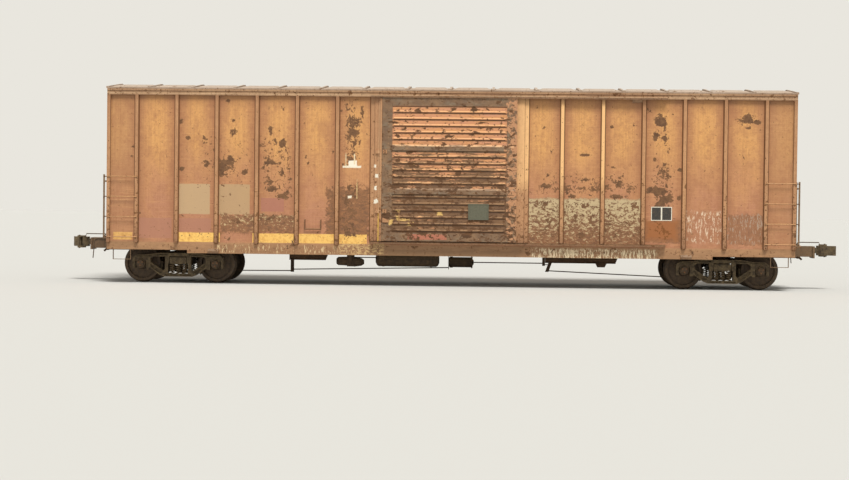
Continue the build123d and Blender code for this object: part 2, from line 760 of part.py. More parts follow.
def door_band(z):
    """The raised strap that covers a joint between two door panels."""
    low, high = z - DOOR_BAND_HEIGHT / 2, z + DOOR_BAND_HEIGHT / 2
    root = -DOOR_SKIN_Y + FUSED_DEPTH
    outline = [
        (root, low),
        (-DOOR_BAND_Y, low + DOOR_BAND_UNDERCUT),
        (-DOOR_BAND_Y, high - DOOR_BAND_FALL),
        (root, high),
    ]
    start = -DOOR_HALF + DOOR_STILE - DOOR_BAND_LAP
    return prism_x(outline, start, DOOR_HALF - DOOR_BAND_END_INSET)


def door_rib(z):
    """One pressed rib across a door panel, with sloped ends."""
    reach = DOOR_HALF - DOOR_STILE - DOOR_RIB_END_GAP
    faces = []
    # Root and crest: half length, half height, distance from the centre line
    for half, tall, y in (
        (reach, DOOR_RIB_BASE / 2, DOOR_SKIN_Y - FUSED_DEPTH),
        (reach - DOOR_RIB_END_SLOPE, DOOR_RIB_CREST / 2, DOOR_SKIN_Y + DOOR_RIB_PROUD),
    ):
        corners = [(dx * half, -y, z + dz * tall) for dx, dz in ((-1, -1), (1, -1), (1, 1), (-1, 1))]
        faces.append(make_face(Polyline(*corners, close=True)))
    return loft(faces, ruled=True)


def door_roller(x):
    """A roller at the door's foot, resting on the track's rail."""
    z = TRACK_RAIL_TOP + RUNNING_GAP + ROLLER_RADIUS
    y = -ROLLER_Y - ROLLER_WIDTH / 2
    return rod((x, y, z), (x, y + ROLLER_WIDTH, z), ROLLER_RADIUS)


def door_locks():
    """The near door's lock plates, beside the keepers on the post, and its lock lever."""
    reach = (-DOOR_FRAME_Y - DOOR_LOCK_PROUD, -DOOR_FRAME_Y)
    left = -DOOR_HALF + DOOR_LOCK_INSET
    plates = [
        block(
            (left, left + DOOR_LOCK_WIDTH),
            reach,
            (z - DOOR_LOCK_HEIGHT / 2, z + DOOR_LOCK_HEIGHT / 2),
        )
        for z in DOOR_LOCK_Z
    ]
    low = DOOR_LOCK_Z[0] - DOOR_LEVER_BELOW_LOCK
    outline = [
        (left, low),
        (left + DOOR_LEVER_LENGTH, low),
        (left + DOOR_LEVER_LENGTH, low + DOOR_LEVER_TIP_HEIGHT),
        (left, low + DOOR_LEVER_ROOT_HEIGHT),
    ]
    return [prism_y(outline, *reach), *plates]


def door_pull():
    """The bar handle low on the near door, near its closing edge."""
    x, bar_y = DOOR_PULL_X, -DOOR_FRAME_Y - DOOR_PULL_STANDOFF
    low, high = DOOR_PULL_Z
    return bent_bar(
        [(x, -DOOR_SKIN_Y, low), (x, bar_y, low), (x, bar_y, high), (x, -DOOR_SKIN_Y, high)],
        DOOR_PULL_RADIUS,
        DOOR_PULL_BEND,
    )


# Ends and roof


def end_rib_height(i):
    """Height of an end rib's middle, from the bottom up."""
    low, high = FLOOR_TOP + END_RIB_MARGIN, roof_underside(INNER_Y) - END_RIB_MARGIN
    return low + i * (high - low) / (END_RIB_COUNT - 1)


def end_wall():
    """The +X end: a gabled wall with long tapered ribs pressed outwards."""
    outline = [
        (-INNER_Y, FLOOR_BOTTOM),
        (INNER_Y, FLOOR_BOTTOM),
        (INNER_Y, roof_underside(INNER_Y)),
        (0, roof_underside(0)),
        (-INNER_Y, roof_underside(INNER_Y)),
    ]
    wall = prism_x(outline, INNER_X, END_FACE_X)
    centre_x = RIB_CREST_X - END_RIB_RADIUS
    reach = INNER_Y - END_RIB_END_MARGIN
    full = reach - END_RIB_TAPER
    profile = [
        (-reach, 0),
        (-reach, END_RIB_END_RADIUS),
        (-full, END_RIB_RADIUS),
        (full, END_RIB_RADIUS),
        (reach, END_RIB_END_RADIUS),
        (reach, 0),
    ]
    ribs = []
    for i in range(END_RIB_COUNT):
        spindle = turned_y(profile, (centre_x, 0, end_rib_height(i)))
        outside = block(
            (INNER_X + END_RIB_ROOT, RIB_CREST_X + FUSED_DEPTH), (-reach, reach), (0, PEAK_TOP)
        )
        ribs.append(spindle & outside)
    return wall.fuse(*ribs)


def end_sill():
    """The +X end sill, with the striker casting that the coupler passes through."""
    plate = block(
        (END_FACE_X - END_SILL_THICKNESS, END_FACE_X),
        (-SHEET_Y + SILL_FLANGE_WIDTH, SHEET_Y - SILL_FLANGE_WIDTH),
        (END_SILL_BOTTOM, FLOOR_BOTTOM),
    )
    low = COUPLER_HEIGHT - STRIKER_BELOW
    striker = block(
        (END_FACE_X - FUSED_DEPTH, STRIKER_FACE),
        (-STRIKER_WIDTH / 2, STRIKER_WIDTH / 2),
        (low, STRIKER_TOP),
    )
    flange = block(
        (STRIKER_FACE - STRIKER_FLANGE_LENGTH, STRIKER_FACE),
        (-STRIKER_WIDTH / 2 - STRIKER_FLANGE, STRIKER_WIDTH / 2 + STRIKER_FLANGE),
        (low - STRIKER_FLANGE, STRIKER_TOP),
    )
    mouth = block(
        (END_FACE_X - END_SILL_THICKNESS - FUSED_DEPTH, STRIKER_FACE + FUSED_DEPTH),
        (-STRIKER_MOUTH_HALF, STRIKER_MOUTH_HALF),
        (
            COUPLER_HEIGHT - SHANK_HEIGHT / 2 - RUNNING_GAP,
            COUPLER_HEIGHT + SHANK_HEIGHT / 2 + STRIKER_MOUTH_ABOVE,
        ),
    )
    return plate.fuse(striker, flange) - mouth


def end_platform():
    """The crossing step over the +X coupler, on brackets from the end sill."""
    z, x = STRIKER_TOP, END_FACE_X + PLATFORM_DEPTH
    deck = block((END_FACE_X, x), (-PLATFORM_HALF, PLATFORM_HALF), (z, DECK_TOP))
    outline = [
        (END_FACE_X, z - PLATFORM_BRACKET_DEPTH),
        (x - PLATFORM_BRACKET_INSET, z),
        (END_FACE_X, z),
    ]
    brackets = []
    for distance in PLATFORM_BRACKET_Y:
        for y in (-distance, distance):
            brackets.append(prism_y(outline, y - PLATE_THICKNESS / 2, y + PLATE_THICKNESS / 2))
    return deck.fuse(*brackets)


def hand_brake():
    """The hand brake's gear housing on the +X end, its chain rod and the step below it."""
    x, y, z = RIB_CREST_X, BRAKE_WHEEL_Y, BRAKE_WHEEL_Z
    half = BRAKE_HOUSING_HALF
    outline = [
        (y - half, z + BRAKE_HOUSING_TOP),
        (y + half, z + BRAKE_HOUSING_TOP),
        (y + half, z - BRAKE_HOUSING_BOTTOM / 2),
        (y + half / 3, z - BRAKE_HOUSING_BOTTOM),
        (y - half / 3, z - BRAKE_HOUSING_BOTTOM),
        (y - half, z - BRAKE_HOUSING_BOTTOM / 2),
    ]
    housing = prism_x(outline, x, x + BRAKE_HOUSING_DEPTH)
    rod_x = x + BRAKE_HOUSING_DEPTH / 2
    top = z - BRAKE_HOUSING_BOTTOM + FUSED_DEPTH
    return housing + rod((rod_x, y, DECK_TOP), (rod_x, y, top), ROD_RADIUS)


def hand_brake_step():
    """The standing step under the hand brake, on two brackets from the end wall."""
    y, z = BRAKE_WHEEL_Y, BRAKE_STEP_Z
    top = z + PLATFORM_THICKNESS
    inner = RIB_CREST_X + BRAKE_HOUSING_DEPTH / 2 + ROD_RADIUS + BRAKE_STEP_ROD_GAP
    deck = block(
        (inner, END_FACE_X + BRAKE_STEP_REACH),
        (y - BRAKE_STEP_HALF, y + BRAKE_STEP_HALF),
        (z, top),
    )
    outline = [
        (END_FACE_X, z - BRAKE_STEP_BRACKET_DEPTH),
        (END_FACE_X, top),
        (inner + FUSED_DEPTH, top),
        (inner + BRAKE_STEP_BRACKET_DEPTH, z),
    ]
    brackets = []
    for side in (-1, 1):
        edge = y + side * (BRAKE_STEP_HALF - BRAKE_STEP_BRACKET_INSET)
        brackets.append(prism_y(outline, edge - PLATE_THICKNESS / 2, edge + PLATE_THICKNESS / 2))
    return deck.fuse(*brackets)


def hand_brake_wheel():
    """The hand brake's wheel: a round rim on dished spokes and a hub."""
    x = RIB_CREST_X + BRAKE_HOUSING_DEPTH
    y, z, rim = BRAKE_WHEEL_Y, BRAKE_WHEEL_Z, BRAKE_WHEEL_RIM
    middle = x + BRAKE_WHEEL_STANDOFF
    tip = BRAKE_WHEEL_RADIUS - rim
    ring = Pos(middle, y, z) * Rot(0, 90, 0) * Torus(tip, rim)
    hub_profile = [
        (0, 0),
        (0, BRAKE_HUB_RADIUS),
        (BRAKE_HUB_LENGTH, BRAKE_HUB_TIP_RADIUS),
        (BRAKE_HUB_LENGTH, 0),
    ]
    parts = [turned_x(hub_profile, (x, y, z))]
    root = (middle - BRAKE_WHEEL_DISH, y, z)
    for i in range(BRAKE_WHEEL_SPOKES):
        a = math.radians(90 + i * 360 / BRAKE_WHEEL_SPOKES)
        end = (middle, y + tip * math.cos(a), z + tip * math.sin(a))
        parts.append(rod(root, end, BRAKE_WHEEL_SPOKE_RADIUS))
    return ring.fuse(*parts)


def roof():
    """A low gable of pressed panels: raised pads between seam caps that cross the whole roof."""
    half = CORNER_X + ROOF_END_OVERHANG
    edge_top = PEAK_TOP - ROOF_SLOPE * ROOF_EDGE_Y
    sheet = prism_x(
        [
            (-ROOF_EDGE_Y, edge_top - ROOF_THICKNESS),
            (0, PEAK_TOP - ROOF_THICKNESS),
            (ROOF_EDGE_Y, edge_top - ROOF_THICKNESS),
            (ROOF_EDGE_Y, edge_top),
            (0, PEAK_TOP),
            (-ROOF_EDGE_Y, edge_top),
        ],
        -half,
        half,
    )
    parts = []
    pitch = 2 * half / ROOF_PANELS
    for i in range(ROOF_PANELS + 1):
        x = -half + i * pitch
        x0 = min(max(x, -half + ROOF_CAP_WIDTH / 2), half - ROOF_CAP_WIDTH / 2)
        parts.append(roof_cap(x0))
    for i in range(ROOF_PANELS):
        x = -half + (i + 0.5) * pitch
        for side in (-1, 1):
            parts.append(roof_pad(x, side, pitch / 2 - ROOF_PAD_MARGIN))
    return sheet.fuse(*parts)


def roof_cap(x):
    """A seam cap across both slopes, lower towards the eaves."""
    edge_top = PEAK_TOP - ROOF_SLOPE * ROOF_EDGE_Y
    outline = [
        (-ROOF_EDGE_Y, edge_top - ROOF_CAP_ROOT),
        (0, PEAK_TOP - ROOF_CAP_ROOT),
        (ROOF_EDGE_Y, edge_top - ROOF_CAP_ROOT),
        (ROOF_EDGE_Y, edge_top + ROOF_CAP_HEIGHT_AT_EAVE),
        (0, PEAK_TOP + ROOF_CAP_HEIGHT),
        (-ROOF_EDGE_Y, edge_top + ROOF_CAP_HEIGHT_AT_EAVE),
    ]
    return prism_x(outline, x - ROOF_CAP_WIDTH / 2, x + ROOF_CAP_WIDTH / 2)


def roof_pad(x, side, half):
    """A raised panel on one slope, higher towards the ridge."""
    near, far = ROOF_PAD_FROM_RIDGE, ROOF_EDGE_Y - ROOF_PAD_FROM_EAVE
    faces = []
    for inset, rise in ((0.0, -ROOF_PAD_ROOT), (ROOF_PAD_SLOPE, ROOF_PAD_RISE)):
        corners = []
        for dx, y in ((-1, near + inset), (1, near + inset), (1, far - inset), (-1, far - inset)):
            z = PEAK_TOP - ROOF_SLOPE * y + rise
            corners.append((x + dx * (half - inset), side * y, z))
        faces.append(make_face(Polyline(*corners, close=True)))
    return loft(faces, ruled=True)


# Underframe


def centre_sill_envelope():
    """The space that the centre sill fills, for pieces that stop against it."""
    return block(
        (-END_FACE_X + END_SILL_THICKNESS, END_FACE_X - END_SILL_THICKNESS),
        (-SILL_WIDTH / 2, SILL_WIDTH / 2),
        (SILL_BOTTOM, FLOOR_BOTTOM),
    )


def centre_sill():
    """The backbone: two webs under a cover plate with turned-out feet, closed below at the ends."""
    w, t, foot = SILL_WIDTH / 2, SILL_PLATE, SILL_FOOT
    half = END_FACE_X - END_SILL_THICKNESS
    top, low = FLOOR_BOTTOM, SILL_BOTTOM
    outline = [
        (-w, low),
        (-w + foot + t, low),
        (-w + foot + t, low + t),
        (-w + t, low + t),
        (-w + t, top - t),
        (w - t, top - t),
        (w - t, low + t),
        (w - foot - t, low + t),
        (w - foot - t, low),
        (w, low),
        (w, top),
        (-w, top),
    ]
    sill = prism_x(outline, -half, half)
    for side in (-1, 1):
        x = sorted((side * (TRUCK_X + SILL_CLOSED_FROM_TRUCK), side * half))
        carrier = block(x, (-w + t, w - t), (low, low + t))
        sill = sill + carrier
        filler = block(
            sorted((side * (TRUCK_X - CENTRE_FILLER_HALF), side * (TRUCK_X + CENTRE_FILLER_HALF))),
            (-w + t, w - t),
            (low, top - t),
        )
        sill = sill + filler
    return sill


def body_bolster():
    """The +X body bolster: tapered arms, a bottom plate under the sill and the male centre plate."""
    x0, x1 = TRUCK_X - BODY_BOLSTER_WIDTH / 2, TRUCK_X + BODY_BOLSTER_WIDTH / 2
    reach = SHEET_Y - SILL_WEB
    low_mid = SILL_BOTTOM - BODY_BOLSTER_PLATE
    low_out = CROSSBEARER_TOP - BODY_BOLSTER_DEPTH_OUTER
    flat = SIDE_BEARING_Y + BODY_BOLSTER_FLAT
    outline = [
        (-reach, CROSSBEARER_TOP),
        (-reach, low_out),
        (-flat, low_mid),
        (flat, low_mid),
        (reach, low_out),
        (reach, CROSSBEARER_TOP),
    ]
    arms = prism_x(outline, x0, x1) - centre_sill_envelope()
    pad_x = (TRUCK_X - BODY_SIDE_BEARING_LENGTH / 2, TRUCK_X + BODY_SIDE_BEARING_LENGTH / 2)
    pad_z = (BOLSTER_TOP + BOWL_HEIGHT + SIDE_BEARING_GAP, low_mid + FUSED_DEPTH)
    for y in (-SIDE_BEARING_Y, SIDE_BEARING_Y):
        pad_y = (y - BODY_SIDE_BEARING_WIDTH / 2, y + BODY_SIDE_BEARING_WIDTH / 2)
        arms = arms + block(pad_x, pad_y, pad_z)
    plate = turned_z(
        [
            (0, CENTRE_PLATE_BOTTOM),
            (CENTRE_PLATE_RADIUS, CENTRE_PLATE_BOTTOM),
            (CENTRE_PLATE_RADIUS, CENTRE_PLATE_BOTTOM + BOWL_HEIGHT + CENTRE_PLATE_RIM_CLEAR),
            (CENTRE_PLATE_RADIUS + CENTRE_PLATE_CONE, low_mid + FUSED_DEPTH),
            (0, low_mid + FUSED_DEPTH),
        ],
        (TRUCK_X, 0, 0),
    )
    return arms + plate


def crossbearer(x, side):
    """A tapered crossbearer from the centre sill to the side sill."""
    y0, y1 = side * SILL_WIDTH / 2, side * (SHEET_Y - SILL_WEB)
    outline = [
        (y0, CROSSBEARER_TOP),
        (y1, CROSSBEARER_TOP),
        (y1, CROSSBEARER_TOP - CROSSBEARER_DEPTH_OUTER),
        (y0, CROSSBEARER_TOP - CROSSBEARER_DEPTH_INNER),
    ]
    return prism_x(outline, x - CROSSBEARER_WIDTH / 2, x + CROSSBEARER_WIDTH / 2)


def crossbearers():
    """Crossbearers both sides of the middle, between the bolsters."""
    return [
        crossbearer(end * (i + 1) * CROSSBEARER_PITCH, side)
        for i in range(CROSSBEARER_COUNT)
        for end in (-1, 1)
        for side in (-1, 1)
    ]


def stringers():
    """The floor stringers that lie on the crossbearers and bolsters."""
    half = END_FACE_X - END_SILL_THICKNESS
    return [
        block(
            (-half, half),
            (y - STRINGER_WIDTH / 2, y + STRINGER_WIDTH / 2),
            (CROSSBEARER_TOP, FLOOR_BOTTOM),
        )
        for y in (-STRINGER_Y, STRINGER_Y)
    ]


def floor():
    """The load floor, from wall to wall."""
    return block((-INNER_X, INNER_X), (-INNER_Y, INNER_Y), (FLOOR_BOTTOM, FLOOR_TOP))


def lever_carrier(x0, x1):
    """A channel under the centre sill that the brake levers are pinned to, its +X end cut back."""
    web, plate = LEVER_WEB_Y, CARRIER_PLATE
    outer = SILL_WIDTH / 2
    outline = [
        (-web, CARRIER_BOTTOM),
        (-outer, CARRIER_BOTTOM),
        (-outer, CARRIER_BOTTOM + plate),
        (-web - plate, CARRIER_BOTTOM + plate),
        (-web - plate, SILL_BOTTOM - plate),
        (-outer, SILL_BOTTOM - plate),
        (-outer, SILL_BOTTOM),
        (-web, SILL_BOTTOM),
    ]
    cut_back = [(x1 - CARRIER_END_SLOPE, CARRIER_BOTTOM), (x1, CARRIER_BOTTOM), (x1, SILL_BOTTOM)]
    return prism_x(outline, x0, x1) - prism_y(cut_back, -outer, -web)


def lever_fulcrum():
    """The tapered bracket that hangs under the right carrier."""
    x0, x1 = FULCRUM_X
    outline = [
        (x0, CARRIER_BOTTOM),
        (x0 + FULCRUM_TAPER, FULCRUM_BOTTOM),
        (x1 - FULCRUM_TAPER, FULCRUM_BOTTOM),
        (x1, CARRIER_BOTTOM),
    ]
    return prism_y(outline, -SILL_WIDTH / 2, -LEVER_WEB_Y)


def brake_levers():
    """The hanging brake levers: one on the left carrier, a linked pair on the right one."""
    y0, y1 = -LEVER_WEB_Y, -LEVER_WEB_Y + LEVER_THICKNESS
    half = LEVER_WIDTH / 2
    left = block(
        (LEFT_LEVER_X - half, LEFT_LEVER_X + half),
        (y0, y1),
        (LEFT_LEVER_BOTTOM, SILL_BOTTOM - SILL_PLATE),
    )
    (xt, zt), (xf, zf) = RIGHT_LEVER_TOP, RIGHT_LEVER_FOOT
    slanted = prism_y([(xt - half, zt), (xt + half, zt), (xf + half, zf), (xf - half, zf)], y0, y1)
    hanger = block(
        (HANGER_X - HANGER_WIDTH / 2, HANGER_X + HANGER_WIDTH / 2),
        (-LEVER_WEB_Y - CARRIER_PLATE, y1),
        (HANGER_BOTTOM, SILL_BOTTOM),
    )
    z = HANGER_BOTTOM + EYE_ABOVE_FOOT
    link = rod((HANGER_X, LEVER_Y, z), (xf + half, LEVER_Y, z), LINK_RADIUS)
    return [left, slanted.fuse(hanger, link)]


def brake_rods():
    """The rods from the levers to the trucks, the centre rod and the cylinder's push rod."""
    half = LEVER_WIDTH / 2
    truck = TRUCK_X - ROD_END_TO_TRUCK
    left, right = LEFT_LEVER_X - half, LEFT_LEVER_X + half
    low = LEFT_LEVER_BOTTOM + EYE_ABOVE_FOOT
    middle = low + EYE_PITCH
    cylinder = (CYLINDER_X[0] - FUSED_DEPTH, middle + MIDDLE_ROD_RISE)
    push = (HANGER_X - HANGER_WIDTH / 2 + FUSED_DEPTH, CYLINDER_Z)
    foot_x, foot_z = RIGHT_LEVER_FOOT[0], RIGHT_LEVER_FOOT[1] + EYE_ABOVE_FOOT
    # Each rod: start (x, z), end (x, z)
    routes = [
        ((-truck, low - LEFT_ROD_FALL), (left + FUSED_DEPTH, low)),
        ((right - FUSED_DEPTH, middle), cylinder),
        ((foot_x, foot_z), (truck, foot_z - RIGHT_ROD_FALL)),
        ((CYLINDER_X[1] - FUSED_DEPTH, CYLINDER_Z), push),
    ]
    seats = [brake_cylinder(), *brake_levers()]
    return [rod((xa, LEVER_Y, za), (xb, LEVER_Y, zb), ROD_RADIUS) - seats for (xa, za), (xb, zb) in routes]


def brake_cylinder():
    """The brake cylinder under the centre sill, with its two hanger plates."""
    x0, x1 = CYLINDER_X
    r = CYLINDER_RADIUS
    barrel, rim = r - CYLINDER_BARREL_STEP, r + CYLINDER_FLANGE_PROUD
    chamfer_length, chamfer = CYLINDER_HEAD_CHAMFER
    nose, tip = CYLINDER_NOSE_RADII
    flange_end = x1 - CYLINDER_NOSE_LENGTH
    flange_start = flange_end - CYLINDER_FLANGE_THICKNESS
    body = turned_x(
        [
            (x0, 0),
            (x0, r - chamfer),
            (x0 + chamfer_length, r),
            (x0 + CYLINDER_HEAD_LENGTH, r),
            (x0 + CYLINDER_HEAD_LENGTH, barrel),
            (flange_start, barrel),
            (flange_start, rim),
            (flange_end, rim),
            (flange_end, nose),
            (x1, tip),
            (x1, 0),
        ],
        (0, LEVER_Y, CYLINDER_Z),
    )
    y = (LEVER_Y - CYLINDER_HANGER_WIDTH / 2, LEVER_Y + CYLINDER_HANGER_WIDTH / 2)
    low = CYLINDER_Z - CYLINDER_HANGER_BELOW
    head_hanger = block((x0 - CARRIER_PLATE, x0), y, (low, SILL_BOTTOM))
    flange_hanger = block((flange_start, flange_end), y, (CYLINDER_Z, SILL_BOTTOM))
    return body.fuse(head_hanger, flange_hanger)


def strap_hanger(x, radius, z):
    """A strap round a tank with a bar up to the near floor stringer."""
    half, top = STRAP_WIDTH / 2, radius + STRAP_THICKNESS
    inside = radius - STRAP_SEAT
    ring = turned_x(
        [(-half, inside), (-half, top), (half, top), (half, inside)],
        (x, -STRINGER_Y + radius, z),
    )
    bar = block(
        (x - half, x + half),
        (-STRINGER_Y - HANGER_BAR / 2, -STRINGER_Y + HANGER_BAR / 2),
        (z - radius / 2, CROSSBEARER_TOP),
    )
    return ring + bar


# A tank's head: (distance from its end, radius), both as shares of the tank's radius
TANK_HEAD = ((0.0, 0.45), (0.18, 0.82), (0.45, 1.0))


def air_reservoir():
    """The air reservoir: a tank with rounded ends, strapped to the near floor stringer."""
    x0, x1 = RESERVOIR_X
    r = RESERVOIR_RADIUS
    start = [(x0 + along * r, across * r) for along, across in TANK_HEAD]
    end = [(x1 - along * r, across * r) for along, across in reversed(TANK_HEAD)]
    tank = turned_x([(x0, 0), *start, *end, (x1, 0)], (0, -RESERVOIR_Y, RESERVOIR_Z))
    return tank.fuse(*[strap_hanger(x, r, RESERVOIR_Z) for x in RESERVOIR_STRAP_X])


# The valve's two round portions: (distance out of the bracket's face, radius)
SERVICE_PORTION = ((0.0, 104.0), (210.0, 96.0), (250.0, 62.0))
EMERGENCY_PORTION = ((0.0, 112.0), (170.0, 88.0), (230.0, 50.0))


def valve_portion(profile, side, z):
    """One round portion of the control valve, on the side of its bracket."""
    face = side * (VALVE_BRACKET[0] / 2 - FUSED_DEPTH)
    points = [(VALVE_X + face + side * out, radius) for out, radius in profile]
    return turned_x([(points[0][0], 0), *points, (points[-1][0], 0)], (0, -RESERVOIR_Y, z))


def control_valve():
    """The brake control valve: two round portions on a pipe bracket, hung from the stringer."""
    x, y, z = VALVE_X, -RESERVOIR_Y, VALVE_Z
    length, width, height = VALVE_BRACKET
    top = z + VALVE_BRACKET_ABOVE
    bracket = block((x - length / 2, x + length / 2), (y - width / 2, y + width / 2), (top - height, top))
    hanger_x = (x - VALVE_BAR_WIDTH / 2, x + VALVE_BAR_WIDTH / 2)
    bar = block(hanger_x, (-STRINGER_Y, -STRINGER_Y + HANGER_BAR), (z, CROSSBEARER_TOP))
    arm = block(hanger_x, (-STRINGER_Y, y), (z, z + VALVE_ARM_HEIGHT))
    pipe_z = z + VALVE_PIPE_ABOVE
    pipe = rod((x, y, pipe_z), (RESERVOIR_X[0] + RESERVOIR_RADIUS / 2, y, pipe_z), ROD_RADIUS)
    portions = [
        valve_portion(SERVICE_PORTION, -1, z),
        valve_portion(EMERGENCY_PORTION, 1, z - EMERGENCY_PORTION_DROP),
    ]
    return bracket.fuse(*portions, bar, arm, pipe) - air_reservoir()


def angle_cock(side, end, z):
    """The brake pipe's cock at one end: body, stem, handle and the nose for a hose."""
    stem_x = side * (end + COCK_STEM_FROM_END)
    stem_top, handle_z = z + COCK_STEM_HEIGHT, z + COCK_STEM_HEIGHT - COCK_HANDLE_RADIUS
    handle_start, handle_end = COCK_HANDLE
    nose_x = end + COCK_NOSE_FROM_END
    nose_tip = (side * (nose_x + COCK_NOSE_REACH), PIPE_Y, z - COCK_NOSE_FALL)
    return [
        rod((side * end, PIPE_Y, z), (side * (end + COCK_LENGTH), PIPE_Y, z), COCK_RADIUS),
        rod((stem_x, PIPE_Y, z), (stem_x, PIPE_Y, stem_top), COCK_STEM_RADIUS),
        rod(
            (stem_x, PIPE_Y + handle_start, handle_z),
            (stem_x, PIPE_Y + handle_end, handle_z),
            COCK_HANDLE_RADIUS,
        ),
        rod((side * nose_x, PIPE_Y, z), nose_tip, COCK_NOSE_RADIUS),
    ]


def brake_pipe():
    """The brake pipe along the car, clear under the bolsters, with an angle cock at each end."""
    z = SILL_BOTTOM - BODY_BOLSTER_PLATE - PIPE_RADIUS
    end = END_FACE_X + STRIKER_LENGTH / 2
    pipe = rod((-end, PIPE_Y, z), (end, PIPE_Y, z), PIPE_RADIUS)
    return pipe.fuse(*angle_cock(-1, end, z), *angle_cock(1, end, z))


# Trucks, drawn about a truck centre at x = 0


def closed_outline(half):
    """A closed outline from its right half, mirrored about x = 0."""
    left = [(-x, z) for x, z in reversed(half) if x > 0]
    return half + left


# The side frame's right half, as (x, z) from the truck's centre: the outer edge with its open jaw,
# the window over the springs, and the window beside it
SIDE_FRAME_EDGE = [
    (0, SIDE_FRAME_BOTTOM),
    (325, SIDE_FRAME_BOTTOM),
    (430, SIDE_FRAME_BOTTOM + 40),
    (AXLE_X - JAW_HALF - 95, WHEEL_RADIUS - 110),
    (AXLE_X - JAW_HALF - 62, WHEEL_RADIUS - 140),
    (AXLE_X - JAW_HALF, WHEEL_RADIUS - 140),
    (AXLE_X - JAW_HALF, ADAPTER_TOP),
    (AXLE_X + JAW_HALF, ADAPTER_TOP),
    (AXLE_X + JAW_HALF, WHEEL_RADIUS - 120),
    (AXLE_X + JAW_HALF + 58, WHEEL_RADIUS - 120),
    (AXLE_X + JAW_HALF + 64, ADAPTER_TOP),
    (AXLE_X + JAW_HALF - 20, ADAPTER_TOP + 62),
    (AXLE_X - JAW_HALF - 60, ADAPTER_TOP + 70),
    (430, BOLSTER_TOP + 26),
    (0, BOLSTER_TOP + 26),
]
SPRING_WINDOW = [
    (0, SPRING_SEAT),
    (232, SPRING_SEAT),
    (232, BOLSTER_END_BOTTOM - 6),
    (BOLSTER_HALF_WIDTH + 12, BOLSTER_END_BOTTOM + 30),
    (BOLSTER_HALF_WIDTH + 12, BOLSTER_END_TOP + 22),
    (0, BOLSTER_END_TOP + 22),
]
SIDE_WINDOW = [
    (300, SPRING_SEAT + 110),
    (340, SPRING_SEAT + 62),
    (628, WHEEL_RADIUS + 20),
    (640, WHEEL_RADIUS + 110),
    (575, WHEEL_RADIUS + 155),
    (300, BOLSTER_END_TOP + 15),
]
# Pockets between the cast flanges on a side frame's outer face
SIDE_FRAME_POCKETS = [
    [(355, 200), (414, 181), (622, 328), (640, 395), (622, 402), (356, 225)],
    [(255, 606), (590, 602), (690, 575), (940, 573), (955, 588), (690, 594), (430, 632), (255, 636)],
    [(30, 140), (318, 140), (300, 166), (30, 166)],
]


def side_frame(side):
    """A cast side frame: windows, flange-edged members, and an open jaw at each axle."""
    y, half = side * JOURNAL_Y, SIDE_FRAME_THICKNESS / 2
    frame = prism_y(closed_outline(SIDE_FRAME_EDGE), y - half, y + half)
    through = (y - half - FUSED_DEPTH, y + half + FUSED_DEPTH)
    cuts = [prism_y(closed_outline(SPRING_WINDOW), *through)]
    for mirror_x in (-1, 1):
        window = [(mirror_x * x, z) for x, z in SIDE_WINDOW]
        cuts.append(prism_y(window, *through))
        for pocket in SIDE_FRAME_POCKETS:
            corners = [(mirror_x * x, z) for x, z in pocket]
            reach = sorted((y + side * SIDE_FRAME_WEB / 2, y + side * (half + FUSED_DEPTH)))
            cuts.append(prism_y(corners, *reach))
    return frame.cut(*cuts)


def truck_bolster():
    """The cast truck bolster: ends in the side frames' windows, centre bowl and side bearings."""
    reach = JOURNAL_Y + SIDE_FRAME_THICKNESS / 2 - BOLSTER_END_INSET
    inner = JOURNAL_Y - SIDE_FRAME_THICKNESS / 2 - BOLSTER_SHOULDER_GAP
    half = [
        (0, BOLSTER_END_BOTTOM - BOLSTER_BELLY),
        (BOLSTER_BELLY_HALF, BOLSTER_END_BOTTOM - BOLSTER_BELLY),
        (inner - BOLSTER_SHOULDER, BOLSTER_END_BOTTOM),
        (reach, BOLSTER_END_BOTTOM),
        (reach, BOLSTER_END_TOP),
        (inner, BOLSTER_END_TOP),
        (inner - BOLSTER_SHOULDER, BOLSTER_TOP),
        (0, BOLSTER_TOP),
    ]
    body = prism_x(closed_outline(half), -BOLSTER_HALF_WIDTH, BOLSTER_HALF_WIDTH)
    hole_z = (BOLSTER_END_BOTTOM + BOLSTER_HOLE_FLOOR, BOLSTER_TOP - BOLSTER_HOLE_ROOF)
    bearing_z = (BOLSTER_TOP - FUSED_DEPTH, BOLSTER_TOP + BOWL_HEIGHT)
    for side in (-1, 1):
        y = side * BOLSTER_HOLE_Y
        hole = block(
            (-BOLSTER_HALF_WIDTH - FUSED_DEPTH, BOLSTER_HALF_WIDTH + FUSED_DEPTH),
            (y - BOLSTER_HOLE_HALF, y + BOLSTER_HOLE_HALF),
            hole_z,
        )
        y = side * SIDE_BEARING_Y
        bearing = block(
            (-SIDE_BEARING_LENGTH / 2, SIDE_BEARING_LENGTH / 2),
            (y - SIDE_BEARING_WIDTH / 2, y + SIDE_BEARING_WIDTH / 2),
            bearing_z,
        )
        body = body - hole + bearing
    bowl_in = CENTRE_PLATE_RADIUS + CENTRE_PLATE_CLEARANCE
    bowl = turned_z(
        [
            (bowl_in, BOLSTER_TOP - FUSED_DEPTH),
            (bowl_in + BOWL_WALL, BOLSTER_TOP - FUSED_DEPTH),
            (bowl_in + BOWL_WALL - BOWL_DRAFT, BOLSTER_TOP + BOWL_HEIGHT),
            (bowl_in, BOLSTER_TOP + BOWL_HEIGHT),
        ],
        (0, 0, 0),
    )
    return body + bowl


